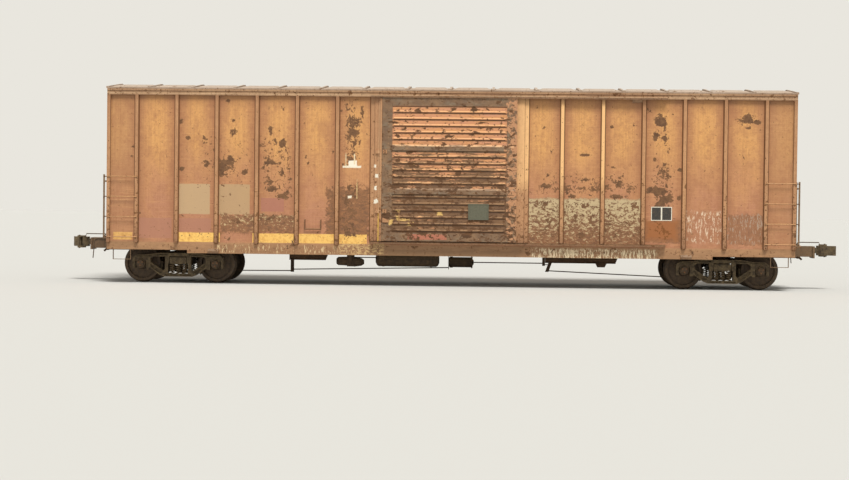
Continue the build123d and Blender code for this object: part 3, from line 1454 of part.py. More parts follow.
def coil_spring(x, y):
    """One coil spring: round wire in rising half turns, each tilted to run on into the next.

    The coil is wound a little taller than its seat and its two ends are ground flat.
    """
    radius = SPRING_RADIUS - SPRING_WIRE_RADIUS
    height = BOLSTER_END_BOTTOM - SPRING_SEAT
    first = SPRING_SEAT + SPRING_WIRE_RADIUS - SPRING_END_GROUND
    wound = height - 2 * (SPRING_WIRE_RADIUS - SPRING_END_GROUND)
    rise = wound / (2 * SPRING_TURNS)
    arcs = []
    for i in range(2 * SPRING_TURNS):
        side = 1 if i % 2 == 0 else -1
        z = first + i * rise
        crown = side * math.hypot(radius, rise / 2)
        arcs.append(
            ThreePointArc(
                (x + side * radius, y, z),
                (x, y + crown, z + rise / 2),
                (x - side * radius, y, z + rise),
            )
        )
    line = Wire(arcs)
    start = Plane(origin=line @ 0, z_dir=line % 0)
    coil = sweep(start * Circle(SPRING_WIRE_RADIUS), path=line)
    between_seats = block(
        (x - 2 * SPRING_RADIUS, x + 2 * SPRING_RADIUS),
        (y - 2 * SPRING_RADIUS, y + 2 * SPRING_RADIUS),
        (SPRING_SEAT, BOLSTER_END_BOTTOM),
    )
    return coil & between_seats


def truck_springs():
    """The coil groups: three springs in a row over each side frame's seat."""
    return [
        coil_spring(i * SPRING_PITCH, side * JOURNAL_Y)
        for side in (-1, 1)
        for i in (-1, 0, 1)
    ]


def axle():
    """A solid axle with raised wheel seats, journals and bolted end caps."""
    seat0, seat1 = WHEEL_BACK_Y - HUB_PROUD, WHEEL_BACK_Y + WHEEL_RIM_WIDTH + HUB_PROUD
    inner_taper, outer_taper = AXLE_SEAT_TAPER
    shoulder = JOURNAL_Y - BEARING_WIDTH / 2 - BEARING_LIP
    cap = JOURNAL_Y + BEARING_WIDTH / 2 + BEARING_LIP
    end = cap + AXLE_CAP_THICKNESS
    thick = AXLE_RADIUS + AXLE_BODY_TAPER
    # The +Y half: (distance from the car's centre line, radius)
    half = [
        (0, AXLE_RADIUS - AXLE_BODY_TAPER),
        (seat0 - inner_taper, thick),
        (seat0, WHEEL_SEAT_RADIUS),
        (seat1, WHEEL_SEAT_RADIUS),
        (seat1 + outer_taper, thick),
        (shoulder, thick),
        (shoulder, JOURNAL_RADIUS),
        (cap, JOURNAL_RADIUS),
        (cap, AXLE_CAP_RADIUS),
        (end, AXLE_CAP_RADIUS - AXLE_CAP_CHAMFER),
    ]
    left = [(-y, r) for y, r in reversed(half) if y > 0]
    return turned_y([(-end, 0)] + left + half + [(end, 0)], (0, 0, WHEEL_RADIUS))


def wheel(side):
    """A one-wear wheel: flanged tread on a dished plate and hub."""
    r, w = WHEEL_RADIUS, WHEEL_RIM_WIDTH
    plate_back, plate_front = (w - PLATE_AT_RIM) / 2, (w + PLATE_AT_RIM) / 2
    # Across the rim from its back face: (distance, radius)
    profile = [
        (-HUB_PROUD, WHEEL_SEAT_RADIUS),
        (-HUB_PROUD, HUB_RADIUS),
        (plate_back, RIM_INNER_RADIUS - RIM_FILLET),
        (0, RIM_INNER_RADIUS),
        (0, r + FLANGE_HEIGHT / 2),
        (FLANGE_TIP[0], r + FLANGE_HEIGHT),
        (FLANGE_TIP[1], r + FLANGE_HEIGHT),
        (FLANGE_ROOT, r + 1),
        (w, r - TREAD_FALL),
        (w, RIM_INNER_RADIUS),
        (plate_front, RIM_INNER_RADIUS - RIM_FILLET),
        (w - PLATE_FRONT_DISH, HUB_RADIUS + HUB_FILLET),
        (w + HUB_PROUD, HUB_RADIUS),
        (w + HUB_PROUD, WHEEL_SEAT_RADIUS),
    ]
    points = [(side * (WHEEL_BACK_Y + t), radius) for t, radius in profile]
    return turned_y(points, (0, 0, WHEEL_RADIUS))


def bearing(x, side):
    """A cartridge roller bearing under its adapter, in the side frame's jaw."""
    y = side * JOURNAL_Y
    half = BEARING_WIDTH / 2
    bore = JOURNAL_RADIUS + BEARING_CLEARANCE
    chamfer_width, chamfer = BEARING_CHAMFER
    cup = turned_y(
        [
            (-half, bore),
            (-half, BEARING_RADIUS - chamfer),
            (-half + chamfer_width, BEARING_RADIUS),
            (half - chamfer_width, BEARING_RADIUS),
            (half, BEARING_RADIUS - chamfer),
            (half, bore),
        ],
        (x, y, WHEEL_RADIUS),
    )
    adapter = block(
        (x - JAW_HALF, x + JAW_HALF),
        (y - half + ADAPTER_INSET, y + half - ADAPTER_INSET),
        (WHEEL_RADIUS + ADAPTER_SKIRT, ADAPTER_TOP),
    )
    seat = rod((x, y - half, WHEEL_RADIUS), (x, y + half, WHEEL_RADIUS), BEARING_RADIUS - BEARING_LIP)
    return cup + (adapter - seat)


def brake_beam(side):
    """A brake beam with a head and shoe at each wheel, on the bolster side of the axle."""
    inner = WHEEL_RADIUS + BRAKE_SHOE_GAP
    outer = inner + BRAKE_SHOE_THICKNESS
    head_y = WHEEL_BACK_Y + WHEEL_RIM_WIDTH / 2 + BRAKE_HEAD_OFFSET
    plane = Plane(origin=(side * AXLE_X, 0, WHEEL_RADIUS), x_dir=(1, 0, 0), z_dir=(0, -1, 0))
    # The wedge of the wheel's circle that a shoe covers, from the axle's middle outwards
    corners = [(0, 0)]
    for degrees in BRAKE_SHOE_ANGLES:
        a = math.radians(180 + degrees)
        corners.append((2 * outer * math.cos(a), 2 * outer * math.sin(a)))
    wedge = make_face(Polyline(*corners, close=True))
    sector = (Circle(outer) - Circle(inner)) & wedge
    if side < 0:
        sector = mirror(sector, Plane.YZ)
    shoe = extrude(plane * sector, amount=BRAKE_SHOE_WIDTH / 2, both=True)
    heads = [Pos(0, y, 0) * shoe for y in (-head_y, head_y)]
    beam_x = side * (AXLE_X - outer + BRAKE_SHOE_GAP)
    beam_z = WHEEL_RADIUS - BRAKE_BEAM_DROP
    reach_y = JOURNAL_Y - SIDE_FRAME_THICKNESS / 2
    beam = block(
        (beam_x - BRAKE_BEAM_THICKNESS / 2, beam_x + BRAKE_BEAM_THICKNESS / 2),
        (-reach_y, reach_y),
        (beam_z - BRAKE_BEAM_DEPTH / 2, beam_z + BRAKE_BEAM_DEPTH / 2),
    )
    strut = block(
        sorted((beam_x, side * (BOLSTER_HALF_WIDTH + BRAKE_STRUT_END_GAP))),
        (-BRAKE_STRUT_WIDTH / 2, BRAKE_STRUT_WIDTH / 2),
        (beam_z - BRAKE_STRUT_DEPTH / 2, beam_z + BRAKE_STRUT_DEPTH / 2),
    )
    return beam.fuse(strut, *heads)


# Couplers and end fittings, drawn at the +X end

# Plans of the knuckle, the head and the head's two lugs, as (x, y) from the pulling face
KNUCKLE_PLAN = [
    (-158, 70),
    (-172, 128),
    (-128, 176),
    (-45, 168),
    (-4, 122),
    (0, 28),
    (-26, 4),
    (-62, 8),
    (-76, 46),
    (-96, 66),
]
HEAD_PLAN = [
    (-330, -84),
    (-262, -140),
    (-140, -176),
    (-30, -196),
    (48, -232),
    (80, -206),
    (58, -158),
    (-14, -104),
    (-96, -78),
    (-122, -30),
    (-118, 40),
    (-180, 62),
    (-196, 130),
    (-214, 176),
    (-270, 150),
    (-330, 84),
]
LUG_PLAN = [
    (-262, 20),
    (-262, 150),
    (-176, 182),
    (-92, 176),
    (-74, 110),
    (-118, 40),
    (-120, -20),
]
KNUCKLE_PIN = (-126, 122)
HEAD_BACK = -HEAD_PLAN[0][0]
KNUCKLE_CLEAR = COUPLER_HEAD_HALF - KNUCKLE_HALF


def at_pulling_face(points):
    """Plan points measured from the pulling face, moved to the +X end."""
    return [(PULLING_FACE + x, y) for x, y in points]


def knuckle():
    """The swinging jaw, bored for its pin."""
    z0, z1 = COUPLER_HEIGHT - KNUCKLE_HALF, COUPLER_HEIGHT + KNUCKLE_HALF
    body = prism_z(at_pulling_face(KNUCKLE_PLAN), z0, z1)
    x, y = PULLING_FACE + KNUCKLE_PIN[0], KNUCKLE_PIN[1]
    bore_z = (z0 - FUSED_DEPTH, z1 + FUSED_DEPTH)
    bore = rod((x, y, bore_z[0]), (x, y, bore_z[1]), KNUCKLE_PIN_RADIUS + RUNNING_GAP)
    return body - bore


def coupler():
    """The coupler body: shank, head with its guard arm, and the pin between two lugs."""
    z0, z1 = COUPLER_HEIGHT - COUPLER_HEAD_HALF, COUPLER_HEIGHT + COUPLER_HEAD_HALF
    head = prism_z(at_pulling_face(HEAD_PLAN), z0, z1)
    shank = block(
        (END_FACE_X - SHANK_INSIDE, PULLING_FACE - HEAD_BACK + PLATE_THICKNESS),
        (-SHANK_WIDTH / 2, SHANK_WIDTH / 2),
        (COUPLER_HEIGHT - SHANK_HEIGHT / 2, COUPLER_HEIGHT + SHANK_HEIGHT / 2),
    )
    x, y = PULLING_FACE + KNUCKLE_PIN[0], KNUCKLE_PIN[1]
    low, high = z0 - HEAD_LUG, z1 + HEAD_LUG
    lugs = [
        prism_z(at_pulling_face(LUG_PLAN), low, z0 + KNUCKLE_CLEAR),
        prism_z(at_pulling_face(LUG_PLAN), z1 - KNUCKLE_CLEAR, high),
    ]
    pin = rod((x, y, low - PIN_PROUD), (x, y, high + PIN_PROUD), KNUCKLE_PIN_RADIUS)
    return head.fuse(shank, *lugs, pin)


def uncoupling_lever():
    """The bent rod that lifts the coupler's lock, worked from the corner of the car."""
    x = END_FACE_X + LEVER_BAR_OUT
    z = FLOOR_BOTTOM - LEVER_BAR_DROP
    lift = COUPLER_HEIGHT + COUPLER_HEAD_HALF + LEVER_BAR_LIFT
    bar = bent_bar(
        [
            (PULLING_FACE - LEVER_EYE_BACK, LEVER_EYE_Y, lift),
            (x, STRIKER_WIDTH / 4, lift),
            (x, STRIKER_WIDTH, z),
            (x, LEVER_BAR_END_Y, z),
            (x + LEVER_HANDLE_SPREAD, LEVER_BAR_END_Y, z - LEVER_HANDLE_LENGTH),
        ],
        LEVER_BAR_RADIUS,
        LEVER_BAR_BEND,
    )
    brackets = [
        block(
            (END_FACE_X, x + LEVER_BRACKET_WIDTH),
            (y - LEVER_BRACKET_WIDTH / 2, y + LEVER_BRACKET_WIDTH / 2),
            (z - LEVER_BRACKET_BELOW, z + LEVER_BRACKET_ABOVE),
        )
        for y in (PLATFORM_HALF + LEVER_BRACKET_GAP, LEVER_BAR_END_Y - LEVER_BRACKET_GAP)
    ]
    return bar.fuse(*brackets)


def side_ladder():
    """The four rungs across the near side's +X ladder bay, bolted to the posts' faces."""
    x0 = LAST_POST_X
    x1 = CORNER_X - CORNER_POST_WIDTH / 2
    y = -POST_Y - RUNG_RADIUS - RUNG_CLEARANCE
    half, tall = RUNG_FOOT_WIDTH / 2, RUNG_FOOT_HEIGHT / 2
    rungs = []
    for i in range(RUNG_COUNT):
        z = RUNG_FIRST + i * RUNG_PITCH
        bar = rod((x0 - RUNG_END, y, z), (x1 + RUNG_END, y, z), RUNG_RADIUS)
        feet = [
            block((x - half, x + half), (-POST_Y - RUNG_FOOT, -POST_Y), (z - tall, z + tall))
            for x in (x0, x1)
        ]
        rungs.append(bar.fuse(*feet))
    return rungs


def end_ladder(side):
    """A four-rung ladder on the +X end, with two stiles on brackets."""
    x0 = END_FACE_X + LADDER_STANDOFF
    z0 = RUNG_FIRST - LADDER_TOP_ALLOWANCE
    z1 = RUNG_FIRST + (RUNG_COUNT - 1) * RUNG_PITCH + LADDER_TOP_ALLOWANCE
    half = LADDER_BRACKET_HEIGHT / 2
    between_ribs = (end_rib_height(3) + end_rib_height(4)) / 2
    parts = []
    for y in LADDER_STILE_Y:
        across = (side * y - LADDER_STILE_THICKNESS / 2, side * y + LADDER_STILE_THICKNESS / 2)
        parts.append(block((x0, x0 + LADDER_STILE_DEPTH), across, (z0, z1)))
        for z in (z0 + half, between_ribs):
            parts.append(block((END_FACE_X, x0 + PLATE_THICKNESS), across, (z - half, z + half)))
    x = x0 + LADDER_STILE_DEPTH / 2
    y0, y1 = LADDER_STILE_Y
    for i in range(RUNG_COUNT):
        z = RUNG_FIRST + i * RUNG_PITCH
        parts.append(rod((x, side * y0, z), (x, side * y1, z), RUNG_RADIUS))
    return parts[0].fuse(*parts[1:])


def sill_step(side):
    """A stirrup step under the +X ladder bay of one side, with two feet inside the sill's web."""
    web = SHEET_Y - SILL_WEB
    y = sorted((side * (web - STEP_BAR_WIDTH), side * web))
    xa, xb = STEP_LEGS_X
    low, high = SILL_BOTTOM_END - STEP_DROP, SILL_BOTTOM_END + STEP_FOOT_HEIGHT
    t = STEP_BAR
    outline = [
        (xa, high),
        (xa, low),
        (xb, low),
        (xb, high),
        (xb - t, high),
        (xb - t, low + t),
        (xa + t, low + t),
        (xa + t, high),
    ]
    feet = [
        block(
            (x - STEP_BAR_WIDTH / 2, x + STEP_BAR_WIDTH / 2),
            sorted((side * (web - t), side * web)),
            (SILL_BOTTOM_END + t, high),
        )
        for x in (xa + t / 2, xb - t / 2)
    ]
    return prism_y(outline, *y).fuse(*feet)


NODES = {}


def add(name, shapes):
    """Files a piece's solids under its node's name."""
    NODES[name] = solids_of(shapes if isinstance(shapes, list) else [shapes])


near_wall, near_posts = side_wall(), side_posts()
add("side_wall_near", near_wall)
add("side_wall_far", [HALF_TURN * s for s in near_wall])
add("side_posts_near", near_posts)
add("side_posts_far", [HALF_TURN * s for s in near_posts])
add("side_sills", both_ends(side_sill()))
add("sill_reinforcements", both_ends(sill_reinforcement()))
add("jacking_pads", [s for side in (-1, 1) for s in both_ends(jacking_pad(side))])
add("door_thresholds", both_ends(door_threshold()))
add("top_chords", both_ends(top_chord()))
add("lower_door_tracks", both_ends(lower_track()))
add("upper_door_tracks", both_ends(upper_track()))
near_door = sliding_door()
add("door_near", near_door)
add("door_far", HALF_TURN * near_door)
near_fittings = [door_pull() - near_door, *door_locks()]
add("door_fittings_near", near_fittings)
add("door_fittings_far", [HALF_TURN * s for s in near_fittings])
add("end_wall_right", end_wall())
add("end_wall_left", HALF_TURN * end_wall())
add("end_sills", both_ends(end_sill()))
add("roof", roof())
add("centre_sill", centre_sill())
add("body_bolsters", both_ends(body_bolster()))
add("crossbearers", crossbearers())
add("floor_stringers", stringers())
add("floor", floor())
right_carrier = lever_carrier(*CARRIER_RIGHT_X) + lever_fulcrum()
add("brake_lever_carriers", [lever_carrier(*CARRIER_LEFT_X), right_carrier])
add("brake_levers", brake_levers())
add("brake_rods", brake_rods())
add("brake_cylinder", brake_cylinder())
add("air_reservoir", air_reservoir())
add("control_valve", control_valve())
add("brake_pipe", brake_pipe())
add("hand_brake", [hand_brake(), hand_brake_step()])
add("hand_brake_wheel", hand_brake_wheel())
add("end_platforms", both_ends(end_platform()))
add("couplers", both_ends(coupler()))
add("knuckles", both_ends(knuckle()))
add("uncoupling_levers", both_ends(uncoupling_lever()))
rungs = side_ladder()
add("side_ladders", [s for r in rungs for m in mirrored(r, Plane.YZ) for s in both_ends(m)])
add("end_ladders", [s for side in (-1, 1) for s in both_ends(end_ladder(side))])
add("sill_steps", [s for side in (-1, 1) for s in both_ends(sill_step(side))])

for name, x, turn in (("right", TRUCK_X, Rot(0, 0, 0)), ("left", -TRUCK_X, HALF_TURN)):
    place = Pos(x, 0, 0) * turn
    add(f"truck_{name}_side_frames", [place * side_frame(s) for s in (-1, 1)])
    add(f"truck_{name}_bolster", place * truck_bolster())
    add(f"truck_{name}_springs", [place * c for c in truck_springs()])
    add(f"truck_{name}_bearings", [place * bearing(e * AXLE_X, s) for e in (-1, 1) for s in (-1, 1)])
    add(f"truck_{name}_brake_beams", [place * brake_beam(e) for e in (-1, 1)])
    for end, label in ((-1, "inner"), (1, "outer")):
        spot = place * Pos(end * AXLE_X, 0, 0)
        add(f"axle_{name}_{label}", spot * axle())
        add(f"wheels_{name}_{label}", [spot * wheel(s) for s in (-1, 1)])

os.makedirs("parts", exist_ok=True)
for name, solids in NODES.items():
    lifted = [Pos(0, 0, FLANGE_HEIGHT) * s for s in solids]
    export_step(Compound(lifted) if len(lifted) > 1 else lifted[0], f"parts/{name}.step")
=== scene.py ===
import math

import bmesh
import bpy
from mathutils import Matrix, Vector


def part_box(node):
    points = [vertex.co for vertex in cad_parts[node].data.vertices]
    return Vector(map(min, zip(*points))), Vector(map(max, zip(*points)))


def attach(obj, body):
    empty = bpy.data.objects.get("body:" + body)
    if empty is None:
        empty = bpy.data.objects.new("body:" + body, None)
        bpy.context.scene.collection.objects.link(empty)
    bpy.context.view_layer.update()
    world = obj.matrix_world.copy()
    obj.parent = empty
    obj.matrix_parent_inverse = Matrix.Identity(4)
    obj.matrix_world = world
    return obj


# Weathered railroad boxcar in an outdoor working finish: faded orange-tan paint, flaking rust and
# dark trucks. Places are in metres: +X along the car, near side -Y, +Z up.

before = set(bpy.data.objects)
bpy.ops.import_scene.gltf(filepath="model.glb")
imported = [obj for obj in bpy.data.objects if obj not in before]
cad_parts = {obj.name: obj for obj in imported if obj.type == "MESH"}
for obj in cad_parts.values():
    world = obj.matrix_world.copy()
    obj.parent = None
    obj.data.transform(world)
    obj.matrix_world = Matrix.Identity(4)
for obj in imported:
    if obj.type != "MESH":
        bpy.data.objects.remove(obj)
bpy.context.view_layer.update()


def row(first, pitch, count):
    """Evenly spaced places along one direction."""
    return [first + i * pitch for i in range(count)]


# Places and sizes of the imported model. It stands on its wheel flanges, so a height over the rail's
# top gains the flange's.
MM = 0.001
FLANGE = 25.4 * MM
CORNER_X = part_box("side_posts_near")[1][0]
SHEET_Y = -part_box("side_wall_near")[0][1]
POST_Y = SHEET_Y + 60 * MM
END_FACE_X = CORNER_X - 18 * MM
POST_PITCH = 914.4 * MM
LAST_POST_X = CORNER_X - 678 * MM
DOOR_FRAME_Y = POST_Y + 52 * MM
DOOR_RIB_PITCH = 152 * MM
DOOR_LOWER_RIB_Z = 1251.5 * MM + FLANGE
DOOR_TOP_RIB_Z = 3322.3 * MM + FLANGE
SILL_LAP_Z = 0.955
ROOF_END_X = CORNER_X + 22 * MM
ROOF_PANELS = 16
ROOF_PEAK_Z = 4.560 + FLANGE
ROOF_SLOPE = 0.128 / 1.540
RUNG_Z = row(1.030 + FLANGE, 457 * MM, 4)
CORNER_RUNG_FOOT_X = CORNER_X - 37.5 * MM
RUNG_FOOT_PROUD = 8 * MM
END_LADDER_X = END_FACE_X + 96 * MM
END_LADDER_OUTER_Y = 1.437
END_LADDER_INNER_Y = 1.005
TRUCK_X = END_FACE_X - 1.549
AXLE_X = 0.8635
AXLE_Z = 419.1 * MM + FLANGE
AXLE_END_Y = 1109.5 * MM
PULLING_FACE_X = END_FACE_X + 1.078
CHAIN_X = PULLING_FACE_X - 270 * MM
CHAIN_Y = 40 * MM
CHAIN_LEAN = 20 * MM
CHAIN_Z = (1.052 + FLANGE, 0.985 + FLANGE)
CYLINDER_FLANGE = (0.526, -0.1015, 0.5 + FLANGE)
LOCK_PLATE_X = -1.4525
LOCK_PLATE_Z = (1.679 + FLANGE, 3.025 + FLANGE)
LOCK_PLATE_PROUD = 20 * MM
ROLLER_PIN_X = 1.19
ROLLER_PIN_Z = 1.0303 + FLANGE
# Rows of fasteners
ROOF_RIVET_OFF_SEAM = 45 * MM
ROOF_RIVET_OFF_END = 60 * MM
ROOF_RIVET_Y = row(150 * MM, 200 * MM, 7)
END_RIVET_Y = 1.415
END_RIVET_Z = row(1.16, 120 * MM, 26)
CHORD_RIVET_X = row(-7.6, 304.8 * MM, 50)
CHORD_RIVET_Z = 4.36
CHORD_RECESS = 8 * MM
RUNG_BOLT_OFF = 17 * MM
LOCK_BOLT_OFF = 24 * MM
CYLINDER_BOLT_RADIUS = 116 * MM
DOOR_STILE_RIVET_X = 1.375
DOOR_STILE_RIVET_Z = row(1.12, 150 * MM, 21)
DOOR_RAIL_RIVET_X = row(-1.2, 160 * MM, 16)
DOOR_RAIL_RIVET_Z = (1.09, 4.23)
CAP_SCREW_RADIUS = 48 * MM
# Fittings on the near side: (x0, x1, z0, z1)
PLATE_AREA = (4.554, 5.02, 1.564, 1.876)
BRACKET_AREA = (-3.259, -2.897, 1.28, 1.488)
BOARD_AREA = (0.437, 0.9, 1.53, 1.892)
TORN_AREA = (4.1, 4.38, 4.215, 4.29)


# Colours and shader nodes


def hex_colour(text):
    """Linear RGBA from an sRGB hex value."""
    values = []
    for i in (0, 2, 4):
        c = int(text[i : i + 2], 16) / 255
        values.append(c / 12.92 if c <= 0.04045 else ((c + 0.055) / 1.055) ** 2.4)
    return (*values, 1.0)


def add(tree, kind, feeds=None, out=0, **settings):
    """Add a node with its settings, feed its inputs with values or sockets, return one output.

    Inputs go by label or by number. In MapRange the value is 0, its range 1 and 2 and the new range
    3 and 4. In a Mix of colours the share is 0, the colours 6 and 7, and the output is 2.
    """
    node = tree.nodes.new("ShaderNode" + kind)
    for name, value in settings.items():
        setattr(node, name, value)
    for key, value in (feeds or {}).items():
        if isinstance(value, bpy.types.NodeSocket):
            tree.links.new(value, node.inputs[key])
        elif isinstance(value, str):
            node.inputs[key].default_value = hex_colour(value)
        else:
            node.inputs[key].default_value = value
    return node.outputs[out]


def new_finish(name):
    """A material with one shader; gives the material, its tree and its shader."""
    material = bpy.data.materials.new(name)
    material.use_nodes = True
    tree = material.node_tree
    tree.nodes.clear()
    shader = tree.nodes.new("ShaderNodeBsdfPrincipled")
    output = tree.nodes.new("ShaderNodeOutputMaterial")
    tree.links.new(shader.outputs[0], output.inputs[0])
    return material, tree, shader


def mottle(tree, place, size, detail=5.0, roughness=0.6, warp=0.0):
    """An uneven pattern from 0 to 1, with lumps of one size or of three along X, Y and Z, in mm."""
    size = size if isinstance(size, tuple) else (size, size, size)
    squeezed = add(tree, "Mapping", {"Vector": place, "Scale": [1 / (s * MM) for s in size]})
    feeds = {"Vector": squeezed, "Scale": 1.0, "Detail": detail, "Roughness": roughness, "Distortion": warp}
    return add(tree, "TexNoise", feeds)


def coat(tree, under, over, pattern, low=0.0, high=1.0, strength=1.0):
    """The colour over laid on under: none where the pattern is low, up to strength where it is high."""
    amount = add(tree, "MapRange", {0: pattern, 1: low, 2: high, 3: 0.0, 4: strength})
    return add(tree, "Mix", {0: amount, 6: under, 7: over}, out=2, data_type="RGBA")


def side_place(tree):
    """Object coordinates, the run along the side as its own onlooker sees it, and the height."""
    place = add(tree, "TexCoord", out="Object")
    x, y, z = (add(tree, "SeparateXYZ", {0: place}, out=axis) for axis in "XYZ")
    away = add(tree, "Math", {0: y}, operation="SIGN")
    along = add(tree, "Math", {0: x, 1: away}, operation="MULTIPLY")
    along = add(tree, "Math", {0: along, 1: -1.0}, operation="MULTIPLY")
    return place, along, z


def within(tree, along, z, area, soft, fray=None, ragged=0.0):
    """1 inside an area (x0, x1, z0, z1) of a side and 0 outside, over soft metres, its edge frayed."""
    x0, x1, z0, z1 = area
    edge = None
    for value, low, high in ((along, x0, x1), (z, z0, z1)):
        off = add(tree, "Math", {0: value, 1: (low + high) / 2}, operation="SUBTRACT")
        off = add(tree, "Math", {0: off}, operation="ABSOLUTE")
        off = add(tree, "Math", {0: off, 1: (high - low) / 2}, operation="SUBTRACT")
        edge = off if edge is None else add(tree, "Math", {0: edge, 1: off}, operation="MAXIMUM")
    if fray is not None:
        edge = add(tree, "Math", {0: fray, 1: 2 * ragged, 2: edge}, operation="MULTIPLY_ADD")
    feeds = {0: edge, 1: ragged - soft, 2: ragged, 3: 1.0, 4: 0.0}
    return add(tree, "MapRange", feeds)


def around(x, z, wide, tall):
    """The area (x0, x1, z0, z1) round a point, from its half width and half height."""
    return (x - wide, x + wide, z - tall, z + tall)


def lay_areas(tree, colour, along, z, rows, soft, fray=None, ragged=0.0):
    """The colour with flat areas of paint laid on it: rows of area, paint, strength."""
    for area, paint, strength in rows:
        mask = within(tree, along, z, area, soft, fray, ragged)
        colour = coat(tree, colour, paint, mask, strength=strength)
    return colour


def rust_density(tree, along, z, areas, spots):
    """How thickly rust stands at a place: the most that any area or spot gives there.

    Areas are ((x0, x1, z0, z1), density, soft edge); spots are (x, z, half width, half height).
    """
    total = None
    for area, density, soft in areas:
        here = within(tree, along, z, area, soft)
        here = add(tree, "Math", {0: here, 1: density}, operation="MULTIPLY")
        total = here if total is None else add(tree, "Math", {0: total, 1: here}, operation="MAXIMUM")
    flat = add(tree, "CombineXYZ", {0: along, 1: z})
    for x, height, wide, tall in spots:
        moved = {"Vector": flat, "Location": (-x / wide, -height / tall, 0), "Scale": (1 / wide, 1 / tall, 0)}
        reach = add(tree, "VectorMath", {0: add(tree, "Mapping", moved)}, out=1, operation="LENGTH")
        here = add(tree, "MapRange", {0: reach, 1: 0.3, 2: 1.5, 3: 1.0, 4: 0.0})
        total = add(tree, "Math", {0: total, 1: here}, operation="MAXIMUM")
    return total


def chips(tree, place, density, sizes):
    """Where the film has come off, 0 or 1: ragged chips, crowded where density is high.

    Sizes are the chips' rough widths in millimetres, the largest first.
    """
    none, most = 0.77, 0.43
    total = None
    for size in sizes:
        lumps = mottle(tree, place, size, 7.0, 0.64, 0.3)
        limit = add(tree, "MapRange", {0: density, 1: 0.0, 2: 1.0, 3: none, 4: most})
        over = add(tree, "Math", {0: lumps, 1: limit}, operation="SUBTRACT")
        bare = add(tree, "MapRange", {0: over, 1: 0.0, 2: 0.025})
        total = bare if total is None else add(tree, "Math", {0: total, 1: bare}, operation="MAXIMUM")
    return total


def facing(tree, axis):
    """The part of the surface's true direction that points along the axis, "X", "Y" or "Z"."""
    return add(tree, "SeparateXYZ", {0: add(tree, "NewGeometry", out="True Normal")}, out=axis)


def join_film(tree, shader, colour, bare, relief, smooth, dull, film=0.6):
    """Give the shader its colour, duller where it is bare, and the relief of a film in millimetres."""
    tree.links.new(colour, shader.inputs["Base Color"])
    gloss = add(tree, "MapRange", {0: bare, 1: 0.0, 2: 1.0, 3: smooth, 4: dull})
    tree.links.new(gloss, shader.inputs["Roughness"])
    bump = add(tree, "Bump", {"Strength": 0.6, "Distance": film * MM, "Height": relief}, invert=True)
    tree.links.new(bump, shader.inputs["Normal"])


def join_grain(tree, shader, colour, roughness, relief, strength, depth=0.8):
    """Give the shader its colour, one roughness and the relief of its grain in millimetres."""
    tree.links.new(colour, shader.inputs["Base Color"])
    shader.inputs["Roughness"].default_value = roughness
    bump = add(tree, "Bump", {"Strength": strength, "Distance": depth * MM, "Height": relief})
    tree.links.new(bump, shader.inputs["Normal"])


# Finishes

# The dark rust colour also paints the shade on undersides.
RUST_DARK_AND_SHADE, RUST_BRIGHT = "57391f", "7f5630"


def aged_enamel(name, fresh, faded, grime_and_shade, density, chip=90, streak=0.35, highlight_and_dust="e0b078", under=0.75):
    """Alkyd enamel brushed or sprayed on steel: chalky, run with rain, rusting where it flakes.

    To the eye it is matt and cloudy, bleached and dusty with a painted highlight on what faces up, and with
    painted shade on undersides and ends.
    """
    material, tree, shader = new_finish(name)
    place = add(tree, "TexCoord", out="Object")
    colour = coat(tree, fresh, faded, mottle(tree, place, 900), 0.35, 0.65)
    runs = mottle(tree, place, (35, 35, 900), 5.0, 0.6)
    colour = coat(tree, colour, grime_and_shade, runs, 0.46, 0.72, streak)
    blotches = mottle(tree, place, 70, 6.0, 0.68)
    colour = coat(tree, colour, grime_and_shade, blotches, 0.48, 0.66, 0.5)
    grain = mottle(tree, place, 14, 4.0, 0.75)
    colour = coat(tree, colour, grime_and_shade, grain, 0.42, 0.72, 0.35)
    # Painted highlight with dust on what faces up, painted shade on undersides and on faces that point along
    # the car
    upward = facing(tree, "Z")
    colour = coat(tree, colour, highlight_and_dust, upward, 0.3, 0.9, 0.6)
    colour = coat(tree, colour, RUST_DARK_AND_SHADE, upward, -0.2, -0.8, under)
    lengthwise_face_shade = add(tree, "Math", {0: facing(tree, "X")}, operation="ABSOLUTE")
    colour = coat(tree, colour, grime_and_shade, lengthwise_face_shade, 0.5, 0.95, 0.35)
    thickly = add(tree, "MapRange", {0: blotches, 1: 0.3, 2: 0.7, 3: density - 0.15, 4: density + 0.2})
    bare = chips(tree, place, thickly, (chip, chip / 3.5))
    rusted = coat(tree, RUST_DARK_AND_SHADE, RUST_BRIGHT, mottle(tree, place, 50), 0.35, 0.65)
    colour = coat(tree, colour, rusted, bare)
    relief = add(tree, "Math", {0: grain, 1: 0.4, 2: bare}, operation="MULTIPLY_ADD")
    join_film(tree, shader, colour, bare, relief, 0.55, 0.88)
    return material


